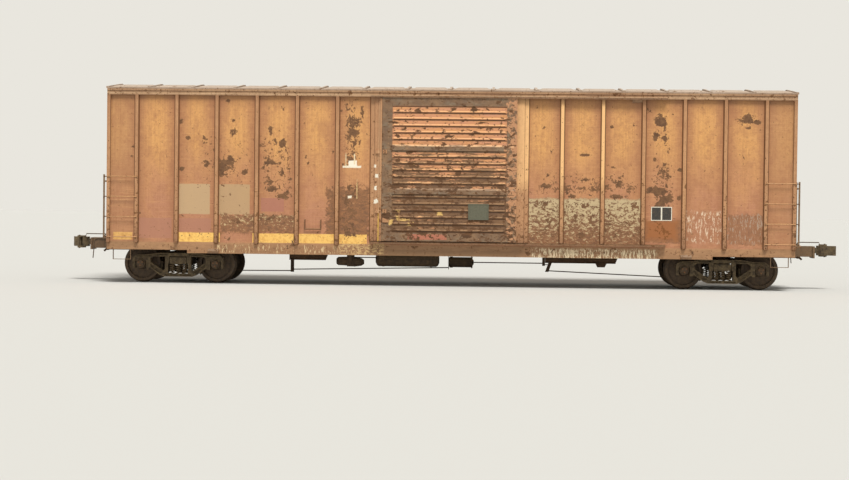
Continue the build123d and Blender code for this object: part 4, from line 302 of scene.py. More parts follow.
def post_enamel():
    """Alkyd enamel on pressed steel posts: pink-brown at the ends of the car, tan by the door with a painted
    sunlit highlight.

    To the eye the faces are pale stripes, with painted shade on their side faces, a painted shadow under the
    fascia, and rust-stained feet.
    """
    material, tree, shader = new_finish("alkyd_enamel_on_pressed_posts")
    place, along, z = side_place(tree)
    colour = coat(tree, "bf9065", "b08058", mottle(tree, place, (500, 500, 900)), 0.35, 0.65)
    right_half = (((1.3, 7.2, 1.0, 4.6), "d09b68", 0.35),)
    colour = lay_areas(tree, colour, along, z, right_half, 1.2)
    runs = mottle(tree, place, (25, 25, 700), 6.0, 0.65)
    colour = coat(tree, colour, "8d5f3c", runs, 0.46, 0.72, 0.5)
    blotches = mottle(tree, place, (60, 60, 90), 6.0, 0.7)
    colour = coat(tree, colour, "93643f", blotches, 0.48, 0.66, 0.45)
    grain = mottle(tree, place, 14, 4.0, 0.75)
    colour = coat(tree, colour, "8a5e3b", grain, 0.42, 0.72, 0.35)
    # Painted sunlit highlight on the upper posts right of the door
    sunlit_highlight_by_door = (((1.3, 4.0, 2.1, 4.6), "f6c384", 0.8),)
    colour = lay_areas(tree, colour, along, z, sunlit_highlight_by_door, 0.5, blotches, 0.15)
    # Painted shade on the side faces, which point along the car
    lengthwise_face_shade = add(tree, "Math", {0: facing(tree, "X")}, operation="ABSOLUTE")
    colour = coat(tree, colour, "6e4a2e", lengthwise_face_shade, 0.25, 0.8, 0.85)
    # Dirt and rust gather at the feet, and a painted shadow darkens the tops under the fascia
    colour = coat(tree, colour, "7a553a", z, 1.5, 1.0, 0.6)
    colour = coat(tree, colour, "7a5233", z, 4.1, 4.3, 0.6)
    thickly = add(tree, "MapRange", {0: z, 1: 0.9, 2: 3.4, 3: 0.66, 4: 0.36})
    bare = chips(tree, place, thickly, (110, 45))
    rusted = coat(tree, RUST_DARK_AND_SHADE, RUST_BRIGHT, mottle(tree, place, 50), 0.35, 0.65)
    colour = coat(tree, colour, rusted, bare, strength=0.9)
    # The edge that the door closes on: a painted highlight as a pale line, yellow paint at its foot
    lit_edge_highlight = (((-1.605, -1.58, 0.98, 4.2), "dbb083", 0.7),)
    colour = lay_areas(tree, colour, along, z, lit_edge_highlight, 0.006, blotches, 0.004)
    yellow_foot = (((-1.608, -1.576, 0.98, 1.66), "e6b956", 1.0),)
    colour = lay_areas(tree, colour, along, z, yellow_foot, 0.006, blotches, 0.005)
    # Dabs of white on the post at the door's closing edge: (x, z, half width, half height)
    dabs = (
        (-1.68, 2.72, 0.02, 0.03),
        (-1.64, 2.5, 0.035, 0.04),
        (-1.665, 2.23, 0.03, 0.05),
        (-1.65, 1.93, 0.055, 0.045),
    )
    rows = [(around(*dab), "e9e2cd", 1.0) for dab in dabs]
    colour = lay_areas(tree, colour, along, z, rows, 0.01, blotches, 0.08)
    relief = add(tree, "Math", {0: grain, 1: 0.4, 2: bare}, operation="MULTIPLY_ADD")
    join_film(tree, shader, colour, bare, relief, 0.5, 0.88)
    return material


def side_sheet_enamel():
    """Alkyd enamel sprayed on the steel side sheets, decades in the sun.

    To the eye it is warm and cloudy, pinker and dirtier low down, with painted shade beside each post, under
    the fascia and under the door, and with bands and fields of other paint, pale overpaint breaking up, and
    rust in chips and patches.
    """
    material, tree, shader = new_finish("alkyd_enamel_on_side_sheets")
    place, along, z = side_place(tree)
    colour = coat(tree, "d0985d", "c08a58", mottle(tree, place, 1300, 4.0), 0.38, 0.62)
    low = add(tree, "MapRange", {0: z, 1: 3.7, 2: 1.5})
    pinker = mottle(tree, place, (500, 500, 800), 6.0, 0.62)
    pinker = add(tree, "Math", {0: pinker, 1: low}, operation="MULTIPLY")
    colour = coat(tree, colour, "b57d5d", pinker, 0.15, 0.48, 0.95)
    # Distance from the middle of the nearest post, in metres
    outward = add(tree, "Math", {0: along}, operation="ABSOLUTE")
    whole_pitches = 10 * POST_PITCH - LAST_POST_X
    across = add(tree, "Math", {0: outward, 1: whole_pitches}, operation="ADD")
    across = add(tree, "Math", {0: across, 1: POST_PITCH / 2}, operation="PINGPONG")
    fray = mottle(tree, place, 110, 7.0, 0.68, 0.4)
    beside = add(tree, "Math", {0: fray, 1: 0.22, 2: across}, operation="MULTIPLY_ADD")
    open_sheet = add(tree, "MapRange", {0: z, 1: 1.9, 2: 3.3})
    open_sheet = add(tree, "Math", {0: open_sheet, 1: beside}, operation="MULTIPLY")
    colour = coat(tree, colour, "dda45f", open_sheet, 0.28, 0.5, 0.75)
    # Painted shade on the sheet beside each post
    colour = coat(tree, colour, "a06a46", beside, 0.34, 0.17, 0.75)
    # The narrow sheets at both ends of the car are duller
    colour = coat(tree, colour, "ae7f55", outward, 6.9, 7.3, 0.6)
    # Rain runs down the sheet, faint polishing marks lengthwise, and fine dirt
    colour = coat(tree, colour, "a06b43", mottle(tree, place, (26, 26, 1000), 6.0, 0.66), 0.45, 0.74, 0.5)
    marks = mottle(tree, place, (700, 700, 22), 5.0, 0.6)
    colour = coat(tree, colour, "e0ac70", marks, 0.53, 0.74, 0.4)
    stains = mottle(tree, place, (320, 320, 420), 7.0, 0.68, 0.5)
    colour = coat(tree, colour, "a06b47", stains, 0.5, 0.66, 0.45)
    spotting = mottle(tree, place, 75, 7.0, 0.72)
    colour = coat(tree, colour, "9f6844", spotting, 0.5, 0.66, 0.5)
    grain = mottle(tree, place, 20, 6.0, 0.78)
    colour = coat(tree, colour, "98643f", grain, 0.42, 0.75, 0.4)
    # Painted shadow under the fascia, along the top of the sheet
    colour = coat(tree, colour, "8a5c38", z, 3.95, 4.29, 0.65)
    # Fields painted on the sheet: area, colour, strength
    fields = (
        ((-6.18, -5.43, 1.585, 2.28), "bb9e76", 0.85),
        ((-5.32, -4.52, 1.585, 2.28), "b5976e", 0.8),
        ((-7.08, -6.3, 1.03, 1.50), "a8735b", 0.75),
        ((-6.2, -5.4, 1.19, 1.50), "a8735b", 0.75),
        ((-4.27, -3.74, 1.66, 1.98), "a66c58", 0.8),
    )
    colour = lay_areas(tree, colour, along, z, fields, 0.01, fray, 0.015)
    # The sheet's foot, below its lap on the sill: duller, streaked with dirt
    foot = add(tree, "Math", {0: fray, 1: 0.05, 2: z}, operation="MULTIPLY_ADD")
    colour = coat(tree, colour, "a98058", foot, SILL_LAP_Z + 0.035, SILL_LAP_Z, 0.85)
    mud = mottle(tree, place, (220, 220, 60), 7.0, 0.7)
    mud = add(tree, "Math", {0: foot, 1: -0.9, 2: mud}, operation="MULTIPLY_ADD")
    colour = coat(tree, colour, "7d5b3c", mud, -0.42, -0.2, 0.45)
    # Painted shade on the sheet's foot under the door
    shade_under_door = (((-1.8, 1.75, 0.5, 1.0), "775939", 0.8),)
    colour = lay_areas(tree, colour, along, z, shade_under_door, 0.3, fray, 0.1)
    # Areas where an old pale coat breaks up over rust: area, how ragged its edge is, rust strength,
    # pattern, the limits over which paint is left at the foot and at the top, colour
    scraps = mottle(tree, place, (105, 105, 60), 10.0, 0.78, 0.6)
    scratches = mottle(tree, place, (34, 34, 150), 8.0, 0.75, 0.5)
    worn_areas = (
        ((1.76, 4.4, 0.98, 2.06), 0.08, 0.92, scraps, 0.57, 0.42, "bfa980"),
        ((-5.2, -3.45, 1.14, 1.62), 0.16, 0.85, scraps, 0.6, 0.52, "c2a97c"),
        ((-2.8, -1.75, 1.1, 2.25), 0.3, 0.9, scraps, 0.64, 0.58, "b3855c"),
        ((4.4, 5.25, 1.04, 1.6), 0.1, 0.8, scraps, 0.66, 0.6, "b4753f"),
        ((5.25, 6.15, 1.04, 1.8), 0.1, 0.15, scratches, 0.56, 0.53, "dcc3a6"),
        ((6.25, 7.1, 1.0, 1.75), 0.2, 0.6, scratches, 0.57, 0.53, "a6917d"),
        ((-5.3, -2.0, 0.70, 0.93), 0.08, 0.25, scratches, 0.56, 0.56, "d4b98c"),
        ((1.85, 4.7, 0.66, 0.93), 0.08, 0.3, scratches, 0.5, 0.5, "e6d2ac"),
        ((-2.5, -1.45, 0.68, 1.0), 0.08, 0.3, scraps, 0.5, 0.5, "c5a36e"),
    )
    for area, ragged, rust, pattern, at_foot, at_top, paint in worn_areas:
        inside = within(tree, along, z, area, 0.05, fray, ragged)
        brown = coat(tree, "5f412a", "95643b", pattern, 0.38, 0.6)
        colour = coat(tree, colour, brown, inside, strength=rust)
        limit = add(tree, "MapRange", {0: z, 1: area[2], 2: area[3], 3: at_foot, 4: at_top})
        left = add(tree, "Math", {0: pattern, 1: limit}, operation="SUBTRACT")
        left = add(tree, "MapRange", {0: left, 1: 0.0, 2: 0.02})
        left = add(tree, "Math", {0: left, 1: inside}, operation="MULTIPLY")
        colour = coat(tree, colour, paint, left, strength=0.95)
    # The yellow band along the foot of the side, in three lengths
    band = coat(tree, "efc066", "d29b4c", spotting, 0.46, 0.66)
    lengths = (
        ((-7.645, -7.2, 0.99, 1.165), band, 0.6),
        ((-6.25, -5.2, 0.955, 1.172), band, 1.0),
        ((-4.46, -1.85, 0.955, 1.172), band, 0.95),
    )
    colour = lay_areas(tree, colour, along, z, lengths, 0.006, fray, 0.012)
    # Areas where rust breaks through: area, density, soft edge
    areas = (
        ((-9.0, 9.0, 0.0, 9.0), 0.33, 0.2),
        ((-9.0, 9.0, 0.0, 2.4), 0.42, 1.2),
        ((-2.65, -1.8, 0.8, 2.6), 0.7, 0.35),
        ((-2.65, -1.8, 2.4, 4.5), 0.66, 0.35),
        ((-5.3, -3.3, 1.1, 1.85), 0.6, 0.3),
        ((-6.2, -3.3, 1.7, 3.9), 0.47, 0.6),
        ((-4.5, -3.35, 1.9, 3.6), 0.58, 0.3),
        ((4.3, 5.3, 2.8, 4.2), 0.62, 0.5),
        ((4.3, 5.3, 1.4, 3.1), 0.74, 0.4),
        ((4.4, 5.25, 0.9, 1.75), 0.7, 0.3),
        ((1.7, 4.6, 0.9, 2.2), 0.6, 0.3),
        ((1.8, 4.4, 1.9, 3.0), 0.6, 0.5),
        ((1.8, 4.4, 1.95, 2.6), 0.74, 0.3),
        ((-9.0, 9.0, 0.6, 1.02), 0.47, 0.1),
    )
    # Blotches: (x, z, half width, half height)
    spots = (
        (-5.10, 2.69, 0.36, 0.33),
        (-4.92, 3.45, 0.12, 0.12),
        (-4.92, 3.72, 0.08, 0.06),
        (-5.04, 4.16, 0.09, 0.05),
        (-3.80, 3.20, 0.12, 0.13),
        (-3.96, 2.77, 0.28, 0.07),
        (-4.06, 3.51, 0.07, 0.17),
        (-4.66, 2.56, 0.10, 0.08),
        (-4.04, 2.34, 0.12, 0.06),
        (-4.00, 2.18, 0.17, 0.11),
        (-3.68, 2.11, 0.08, 0.1),
        (-3.77, 2.02, 0.22, 0.11),
        (-6.11, 3.70, 0.07, 0.07),
        (-5.95, 3.32, 0.07, 0.06),
        (-5.58, 3.34, 0.07, 0.07),
        (-6.08, 2.63, 0.08, 0.06),
        (-2.19, 3.69, 0.26, 0.26),
        (-2.17, 3.47, 0.20, 0.13),
        (-1.99, 3.94, 0.07, 0.18),
        (-2.26, 3.38, 0.1, 0.07),
        (-2.47, 3.96, 0.08, 0.07),
        (6.69, 3.85, 0.27, 0.15),
        (6.89, 3.81, 0.13, 0.08),
        (6.71, 3.67, 0.12, 0.05),
        (4.75, 3.83, 0.19, 0.23),
        (4.64, 3.49, 0.13, 0.16),
        (4.84, 3.42, 0.11, 0.13),
        (4.62, 2.93, 0.08, 0.07),
        (4.85, 2.82, 0.08, 0.07),
        (4.72, 2.23, 0.35, 0.16),
        (4.84, 2.05, 0.27, 0.14),
        (5.17, 2.71, 0.07, 0.06),
        (5.17, 2.08, 0.08, 0.08),
        (3.03, 3.02, 0.2, 0.04),
        (3.65, 3.66, 0.07, 0.06),
        (3.78, 2.40, 0.19, 0.12),
        (3.71, 2.76, 0.08, 0.06),
        (3.74, 2.09, 0.18, 0.09),
        (2.77, 2.10, 0.1, 0.08),
        (2.08, 1.93, 0.29, 0.10),
    )
    density = rust_density(tree, along, z, areas, spots)
    bare = chips(tree, place, density, (170, 60))
    rusted = coat(tree, "5f422b", "7b5738", mottle(tree, place, 60), 0.35, 0.65)
    # Fresher orange rust low on the right
    glow = within(tree, along, z, (4.38, 5.2, 1.08, 1.62), 0.12, fray, 0.1)
    colour = coat(tree, colour, "9a5d2c", glow, strength=0.85)
    rusted = coat(tree, rusted, "7a4a20", glow)
    colour = coat(tree, colour, rusted, bare)
    # White flakes and streaks left beside the door
    flakes = (
        ((-2.42, -1.99, 2.67, 2.73), "eadfc6", 1.0),
        ((-2.29, -2.09, 2.7, 2.85), "f0e6d0", 1.0),
        ((-2.36, -2.33, 2.7, 3.03), "d9c49c", 1.0),
        ((-2.17, -2.13, 2.75, 3.0), "e2cfa8", 1.0),
        ((-2.1, -2.075, 1.98, 2.42), "d8b77e", 1.0),
        ((-2.3, -2.2, 1.98, 2.05), "eadfc6", 1.0),
    )
    colour = lay_areas(tree, colour, along, z, flakes, 0.012, scraps, 0.035)
    # Inside the car, 20 to 30 mm behind the face, the same sheets wear a scuffed grey-brown coat
    depth = add(tree, "SeparateXYZ", {0: place}, out="Y")
    depth = add(tree, "Math", {0: depth}, operation="ABSOLUTE")
    inner = coat(tree, "a08b6a", "7b6649", stains, 0.42, 0.62)
    inner = coat(tree, inner, "5d4a35", scraps, 0.56, 0.62, 0.7)
    colour = coat(tree, colour, inner, depth, SHEET_Y - 20 * MM, SHEET_Y - 30 * MM)
    relief = add(tree, "Math", {0: grain, 1: 0.5, 2: spotting}, operation="MULTIPLY_ADD")
    join_film(tree, shader, colour, bare, relief, 0.5, 0.88)
    return material


def door_enamel():
    """Alkyd enamel on the sliding doors: left on the ribbed panels, worn to rust on the frame.

    To the eye the ribs are painted highlights over painted shadows with rust, the lower half and the frame
    are brown.
    """
    material, tree, shader = new_finish("alkyd_enamel_on_doors")
    place, along, z = side_place(tree)
    grain = mottle(tree, place, 20, 6.0, 0.78)
    fray = mottle(tree, place, 100, 7.0, 0.68, 0.4)
    lengthwise = mottle(tree, place, (450, 450, 45), 7.0, 0.68, 0.2)
    upper = coat(tree, "cf9159", "c68a68", lengthwise, 0.35, 0.65)
    lower = coat(tree, "5e412a", "86623f", lengthwise, 0.35, 0.65)
    # Distance above the nearest rib's middle, in metres: a painted highlight lies on each rib's upper part,
    # and a painted shadow with rust in the line under each rib
    half = DOOR_RIB_PITCH / 2
    top_panel = add(tree, "Math", {0: z, 1: 3.2}, operation="GREATER_THAN")
    shift = DOOR_LOWER_RIB_Z - DOOR_TOP_RIB_Z
    above = add(tree, "Math", {0: top_panel, 1: shift, 2: z}, operation="MULTIPLY_ADD")
    above = add(tree, "Math", {0: above, 1: -DOOR_LOWER_RIB_Z}, operation="ADD")
    above = add(tree, "Math", {0: above, 1: -half, 2: half}, operation="WRAP")
    above = add(tree, "Math", {0: fray, 1: 0.02, 2: above}, operation="MULTIPLY_ADD")
    # Painted highlight along each rib's upper part
    rib_top_highlight = add(tree, "Math", {0: above, 1: 0.022, 2: 0.012}, operation="COMPARE")
    upper = coat(tree, upper, "e3ad78", rib_top_highlight, strength=0.5)
    lower = coat(tree, lower, "977148", rib_top_highlight, strength=0.5)
    # The paint thins out down the door, in bands along the ribs
    bands = mottle(tree, place, (600, 600, 75), 9.0, 0.72, 0.35)
    fall = add(tree, "MapRange", {0: z, 1: 3.7, 2: 1.9, 3: 0.36, 4: 0.63})
    worn = add(tree, "Math", {0: fall, 1: bands}, operation="SUBTRACT")
    worn = add(tree, "MapRange", {0: worn, 1: -0.02, 2: 0.03})
    colour = add(tree, "Mix", {0: worn, 6: upper, 7: lower}, out=2, data_type="RGBA")
    # Painted shadow, with rust, in the line under each rib
    rib_shadow_and_rust = add(tree, "Math", {0: above, 1: -0.024, 2: 0.014}, operation="COMPARE")
    colour = coat(tree, colour, "5a3c24", rib_shadow_and_rust, strength=0.8)
    # Frame and straps: (x0, x1, z0, z1)
    frame_bars = (
        (-1.53, -1.285, 1.0, 4.3),
        (1.285, 1.53, 1.0, 4.3),
        (-1.53, 1.53, 4.085, 4.3),
        (-1.53, 1.53, 1.0, 1.228),
        (-1.53, 1.53, 3.035, 3.2),
        (-1.53, 1.53, 2.06, 2.225),
    )
    framed = None
    for area in frame_bars:
        bar = within(tree, along, z, area, 0.008)
        framed = bar if framed is None else add(tree, "Math", {0: framed, 1: bar}, operation="MAXIMUM")
    frame_colour = coat(tree, "6c513a", "8a6a4a", mottle(tree, place, 190, 7.0, 0.65), 0.36, 0.66)
    grey = mottle(tree, place, (330, 330, 120), 7.0, 0.7)
    frame_colour = coat(tree, frame_colour, "80705a", grey, 0.5, 0.62, 0.6)
    # Scraps of paint left on the frame, more of them at the trailing edge
    left = add(tree, "MapRange", {0: along, 1: 1.2, 2: 1.35, 3: 0.66, 4: 0.46})
    left = add(tree, "Math", {0: fray, 1: left}, operation="SUBTRACT")
    frame_colour = coat(tree, frame_colour, "c08a60", left, 0.0, 0.03, 0.85)
    colour = add(tree, "Mix", {0: framed, 6: colour, 7: frame_colour}, out=2, data_type="RGBA")
    # A field of newer red-brown paint on the bottom rail, and spots of yellow:
    # (x, z, half width, half height)
    field = (((-0.93, -0.04, 1.07, 1.2), "b06a50", 0.9),)
    colour = lay_areas(tree, colour, along, z, field, 0.008, fray, 0.01)
    dabs = (
        (-1.15, 1.63, 0.05, 0.11),
        (-1.02, 1.52, 0.14, 0.03),
        (-1.3, 1.47, 0.05, 0.07),
        (-0.86, 1.42, 0.08, 0.05),
        (-0.2, 1.66, 0.07, 0.05),
        (-0.82, 2.76, 0.05, 0.02),
    )
    rows = [(around(*dab), "dcb468", 0.9) for dab in dabs]
    colour = lay_areas(tree, colour, along, z, rows, 0.02, fray, 0.08)
    # Painted highlight with dust on ledges, painted shade on undersides
    upward = facing(tree, "Z")
    highlight_and_dust = add(tree, "Mix", {0: worn, 6: "e4b277", 7: "8f6c45"}, out=2, data_type="RGBA")
    colour = coat(tree, colour, highlight_and_dust, upward, 0.15, 0.6, 0.7)
    colour = coat(tree, colour, "3f2b1a", upward, -0.1, -0.5, 0.9)
    density = add(tree, "MapRange", {0: z, 1: 4.2, 2: 1.6, 3: 0.52, 4: 0.66})
    flat = add(tree, "Mapping", {"Vector": place, "Scale": (0.6, 0.6, 1.0)})
    bare = chips(tree, flat, density, (130, 55))
    rusted = coat(tree, "4d341f", "6d4a2c", lengthwise, 0.35, 0.65)
    colour = coat(tree, colour, rusted, bare)
    relief = add(tree, "Math", {0: grain, 1: 0.4, 2: bare}, operation="MULTIPLY_ADD")
    join_film(tree, shader, colour, bare, relief, 0.58, 0.88)
    return material


def bare_steel(name, base, light, dust, roughness, lump=90):
    """Cast or rolled steel left to rust evenly, oiled by the running gear.

    To the eye it is a dull dark brown, a little sandy, with pale road dust on what faces up.
    """
    material, tree, shader = new_finish(name)
    place = add(tree, "TexCoord", out="Object")
    patches = mottle(tree, place, lump, 6.0, 0.65)
    colour = coat(tree, base, light, patches, 0.35, 0.68)
    speckle = mottle(tree, place, 30, 5.0, 0.7)
    colour = coat(tree, colour, dust, speckle, 0.5, 0.72, 0.35)
    upward = add(tree, "Math", {0: facing(tree, "Z"), 1: speckle}, operation="MULTIPLY")
    colour = coat(tree, colour, dust, upward, 0.05, 0.55, 0.8)
    sand = mottle(tree, place, 6, 3.0, 0.6)
    join_grain(tree, shader, colour, roughness, sand, 0.35)
    return material


def wheel_steel():
    """Wrought wheel steel, forged and left bare: brown with rust and brake dust.

    To the eye the discs are dark and dull, with a faint soft shine.
    """
    material, tree, shader = new_finish("wrought_wheel_steel")
    place = add(tree, "TexCoord", out="Object")
    patches = mottle(tree, place, 70, 6.0, 0.65)
    colour = coat(tree, "38291a", "5a462e", patches, 0.35, 0.68)
    speckle = mottle(tree, place, 25, 5.0, 0.7)
    colour = coat(tree, colour, "77654a", speckle, 0.52, 0.74, 0.4)
    shader.inputs["Metallic"].default_value = 0.15
    sand = mottle(tree, place, 8, 3.0, 0.6)
    join_grain(tree, shader, colour, 0.62, sand, 0.3)
    return material


def floor_planks():
    """Hardwood planks, sawn and laid across the car, never varnished.

    To the eye they are grey-brown boards with dark joints and scuffed grain.
    """
    material, tree, shader = new_finish("hardwood_floor_planks")
    place = add(tree, "TexCoord", out="Object")
    turned = add(tree, "Mapping", {"Vector": place, "Rotation": (0, 0, math.pi / 2)})
    feeds = {"Vector": turned, "Color1": "8a7457", "Color2": "6f5b43", "Mortar": "2c241b", "Scale": 1.0}
    feeds |= {"Mortar Size": 3 * MM, "Brick Width": 2.9, "Row Height": 130 * MM}
    boards = add(tree, "TexBrick", feeds)
    fibres = mottle(tree, place, (12, 500, 12), 6.0, 0.6)
    colour = coat(tree, boards, "4f4030", fibres, 0.4, 0.7, 0.5)
    join_grain(tree, shader, colour, 0.8, fibres, 0.5, 1.0)
    return material


def sign_enamel(name, paint, dirt, chip):
    """Gloss enamel on a small plate, weathered outdoors: flat colour with dirt and small chips."""
    material, tree, shader = new_finish(name)
    place = add(tree, "TexCoord", out="Object")
    spotting = mottle(tree, place, 40, 7.0, 0.7)
    colour = coat(tree, paint, dirt, spotting, 0.45, 0.7, 0.6)
    bare = chips(tree, place, add(tree, "MapRange", {0: spotting, 3: 0.2, 4: 0.5}), (chip, chip / 3))
    colour = coat(tree, colour, RUST_BRIGHT, bare, strength=0.9)
    join_film(tree, shader, colour, bare, spotting, 0.42, 0.85, 0.3)
    return material


sheet_paint = side_sheet_enamel()
door_paint = door_enamel()
post_paint = post_enamel()
# In each enamel below, the colour for faces that point up is a painted highlight with dust; faces that point
# down or along the car get painted shade.
end_paint = aged_enamel("alkyd_enamel_on_pressed_ends", "bd8857", "a97656", "80583a", 0.45, chip=150)
bar_paint = aged_enamel("alkyd_enamel_on_bar_steel", "c8945f", "b0805a", "855d3d", 0.42, chip=60)
# Scuffed nearly to brown by jacks and boots, and dark with dirt
pad_paint = aged_enamel("worn_enamel_on_pads", "7f5f40", "6b4e34", "4f3a26", 0.55, chip=110, highlight_and_dust="987750")
step_paint = aged_enamel("worn_enamel_on_steps", "8b7052", "725a40", "55412c", 0.5, chip=60, highlight_and_dust="a8926c")
end_sill_paint = aged_enamel(
    "alkyd_enamel_on_end_sills", "745a3c", "64492f", "4a3824", 0.4, chip=110, highlight_and_dust="97835f"
)
# Cream where they face up from sun bleaching and a painted highlight, dark with painted shade underneath
chord_paint = aged_enamel(
    "alkyd_enamel_on_top_chord", "b6906a", "9f7856", "78573c", 0.48, 160, 0.4, "dcc79c", under=0.9
)
track_paint = aged_enamel(
    "worn_enamel_on_door_tracks", "936d4b", "7a5a3d", "5b422c", 0.52, 90, 0.4, "dcb482", under=0.9
)
# The roof's zinc coat has turned a chalky pink-grey, with broad brown chips
roof_metal = aged_enamel(
    "galvanised_sheet_of_roof", "b39c88", "9c826b", "7a614a", 0.4, chip=260, highlight_and_dust="bfab95"
)
cast_steel = bare_steel("cast_steel_of_trucks", "352a1c", "6c5b3f", "9c8965", 0.82)
rolled_steel = bare_steel("rolled_steel_of_underframe", "4b3523", "664a30", "7f6b4c", 0.8)
lever_steel = bare_steel("rolled_steel_of_brake_gear", "3a2b1d", "55412b", "7b694d", 0.8)
spring_steel = bare_steel("spring_steel_of_coils", "3a2c1d", "5d4a31", "85734f", 0.7, lump=40)
bolt_steel = bare_steel("forged_steel_of_bolts", "5a3f28", "7c5634", "9a7c55", 0.75, lump=20)
wheels_finish = wheel_steel()
floor_wood = floor_planks()
plate_black = sign_enamel("black_enamel_on_plates", "2b2a26", "5a4a38", chip=60)
plate_white = sign_enamel("white_enamel_on_plate_frames", "e6dfcc", "b9a587", chip=50)
board_green = sign_enamel("grey_green_enamel_on_boards", "5d5c49", "453d2d", chip=70)

# What each finish goes on. The rest of the carbody is rolled steel.
nodes_of_finish = (
    (sheet_paint, ("side_wall_near", "side_wall_far", "side_sills", "sill_reinforcements")),
    (post_paint, ("side_posts_near", "side_posts_far")),
    (door_paint, ("door_near", "door_far")),
    (end_paint, ("end_wall_right", "end_wall_left")),
    (bar_paint, ("door_fittings_near", "door_fittings_far", "end_platforms", "side_ladders")),
    (bar_paint, ("hand_brake", "hand_brake_wheel")),
    (pad_paint, ("jacking_pads",)),
    (step_paint, ("end_ladders", "sill_steps")),
    (end_sill_paint, ("end_sills",)),
    (chord_paint, ("top_chords",)),
    (track_paint, ("lower_door_tracks", "upper_door_tracks")),
    (roof_metal, ("roof",)),
    (floor_wood, ("floor",)),
    (cast_steel, ("couplers", "knuckles")),
    (lever_steel, ("uncoupling_levers", "brake_levers", "brake_rods")),
    (lever_steel, ("brake_cylinder", "air_reservoir", "control_valve")),
)
finish_of_node = {name: finish for finish, names in nodes_of_finish for name in names}
for name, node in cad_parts.items():
    finish = finish_of_node.get(name, rolled_steel)
    if name.startswith("truck"):
        finish = spring_steel if "springs" in name or "bearings" in name else cast_steel
    if name.startswith(("axle", "wheels")):
        finish = wheels_finish
    node.data.materials.clear()
    node.data.materials.append(finish)


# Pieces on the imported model


def turned_to(direction, point):
    """The matrix that stands a shape made along +Z on the point, turned to the direction."""
    turn = Vector(direction).to_track_quat("Z", "Y").to_matrix().to_4x4()
    return Matrix.Translation(point) @ turn


def make_piece(bm, name, finishes, body="carbody"):
    """Make the bmesh a piece of the object, smooth but for its edges, riding on its body."""
    bmesh.ops.recalc_face_normals(bm, faces=bm.faces)
    mesh = bpy.data.meshes.new(name)
    bm.to_mesh(mesh)
    bm.free()
    mesh.shade_smooth()
    mesh.set_sharp_from_angle(angle=math.radians(35))
    for finish in finishes:
        mesh.materials.append(finish)
    piece = bpy.data.objects.new(name, mesh)
    bpy.context.collection.objects.link(piece)
    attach(piece, body)


def rounded_edges(bm, edges, width):
    """Bevel these edges evenly."""
    bmesh.ops.bevel(bm, geom=edges, offset=width, segments=1, profile=0.5, affect="EDGES", material=-1)


def rivet_head(radius, height):
    """A round-headed rivet: a low taper with its top edge rounded."""
    bm = bmesh.new()
    bmesh.ops.create_cone(
        bm, cap_ends=True, segments=8, radius1=radius, radius2=0.8 * radius, depth=2 * height
    )
    top = [e for e in bm.edges if all(v.co.z > 0 for v in e.verts)]
    rounded_edges(bm, top, 0.35 * radius)
    return bm


def hexagon_bolt(across, height):
    """A hexagon bolt head on its round washer."""
    bm = bmesh.new()
    radius = across / math.sqrt(3)
    bmesh.ops.create_cone(bm, cap_ends=True, segments=6, radius1=radius, radius2=radius, depth=2 * height)
    top = [e for e in bm.edges if all(v.co.z > 0 for v in e.verts)]
    rounded_edges(bm, top, 0.12 * across)
    washer = 0.3 * height
    bmesh.ops.create_cone(
        bm, cap_ends=True, segments=12, radius1=1.2 * radius, radius2=1.15 * radius, depth=2 * washer
    )
    return bm


def copies(pattern, stands):
    """One bmesh with a copy of the pattern moved by each matrix."""
    one = bpy.data.meshes.new("pattern")
    pattern.to_mesh(one)
    pattern.free()
    bm = bmesh.new()
    for stand in stands:
        start = len(bm.verts)
        bm.from_mesh(one)
        bm.verts.ensure_lookup_table()
        bmesh.ops.transform(bm, matrix=stand, verts=bm.verts[start:])
    bpy.data.meshes.remove(one)
    return bm


def repeat(pattern, places):
    """One bmesh with a copy of the pattern standing at each place: (point, direction)."""
    return copies(pattern, [turned_to(direction, point) for point, direction in places])


def both_ways(places):
    """The places and their copies, turned half round about the car's middle."""
    return places + [((-x, -y, z), (-dx, -dy, dz)) for (x, y, z), (dx, dy, dz) in places]


def bent_rod(bm, points, radius):
    """A round bar along straight runs between the points, rounded where it bends."""
    for start, end in zip(points, points[1:]):
        start, end = Vector(start), Vector(end)
        run = end - start
        bmesh.ops.create_cone(
            bm,
            cap_ends=True,
            segments=10,
            radius1=radius,
            radius2=radius,
            depth=run.length,
            matrix=turned_to(run, (start + end) / 2),
        )
    for point in points[1:-1]:
        at = Matrix.Translation(point)
        bmesh.ops.create_uvsphere(bm, u_segments=10, v_segments=6, radius=radius, matrix=at)


def plank(bm, corners, edge):
    """A flat bar or board between two opposite corners, with its edges eased."""
    low, high = Vector(corners[0]), Vector(corners[1])
    size = high - low
    place = Matrix.Translation((low + high) / 2) @ Matrix.Diagonal((*size, 1))
    made = bmesh.ops.create_cube(bm, size=1.0, matrix=place)
    edges = list({e for v in made["verts"] for e in v.link_edges})
    rounded_edges(bm, edges, edge)


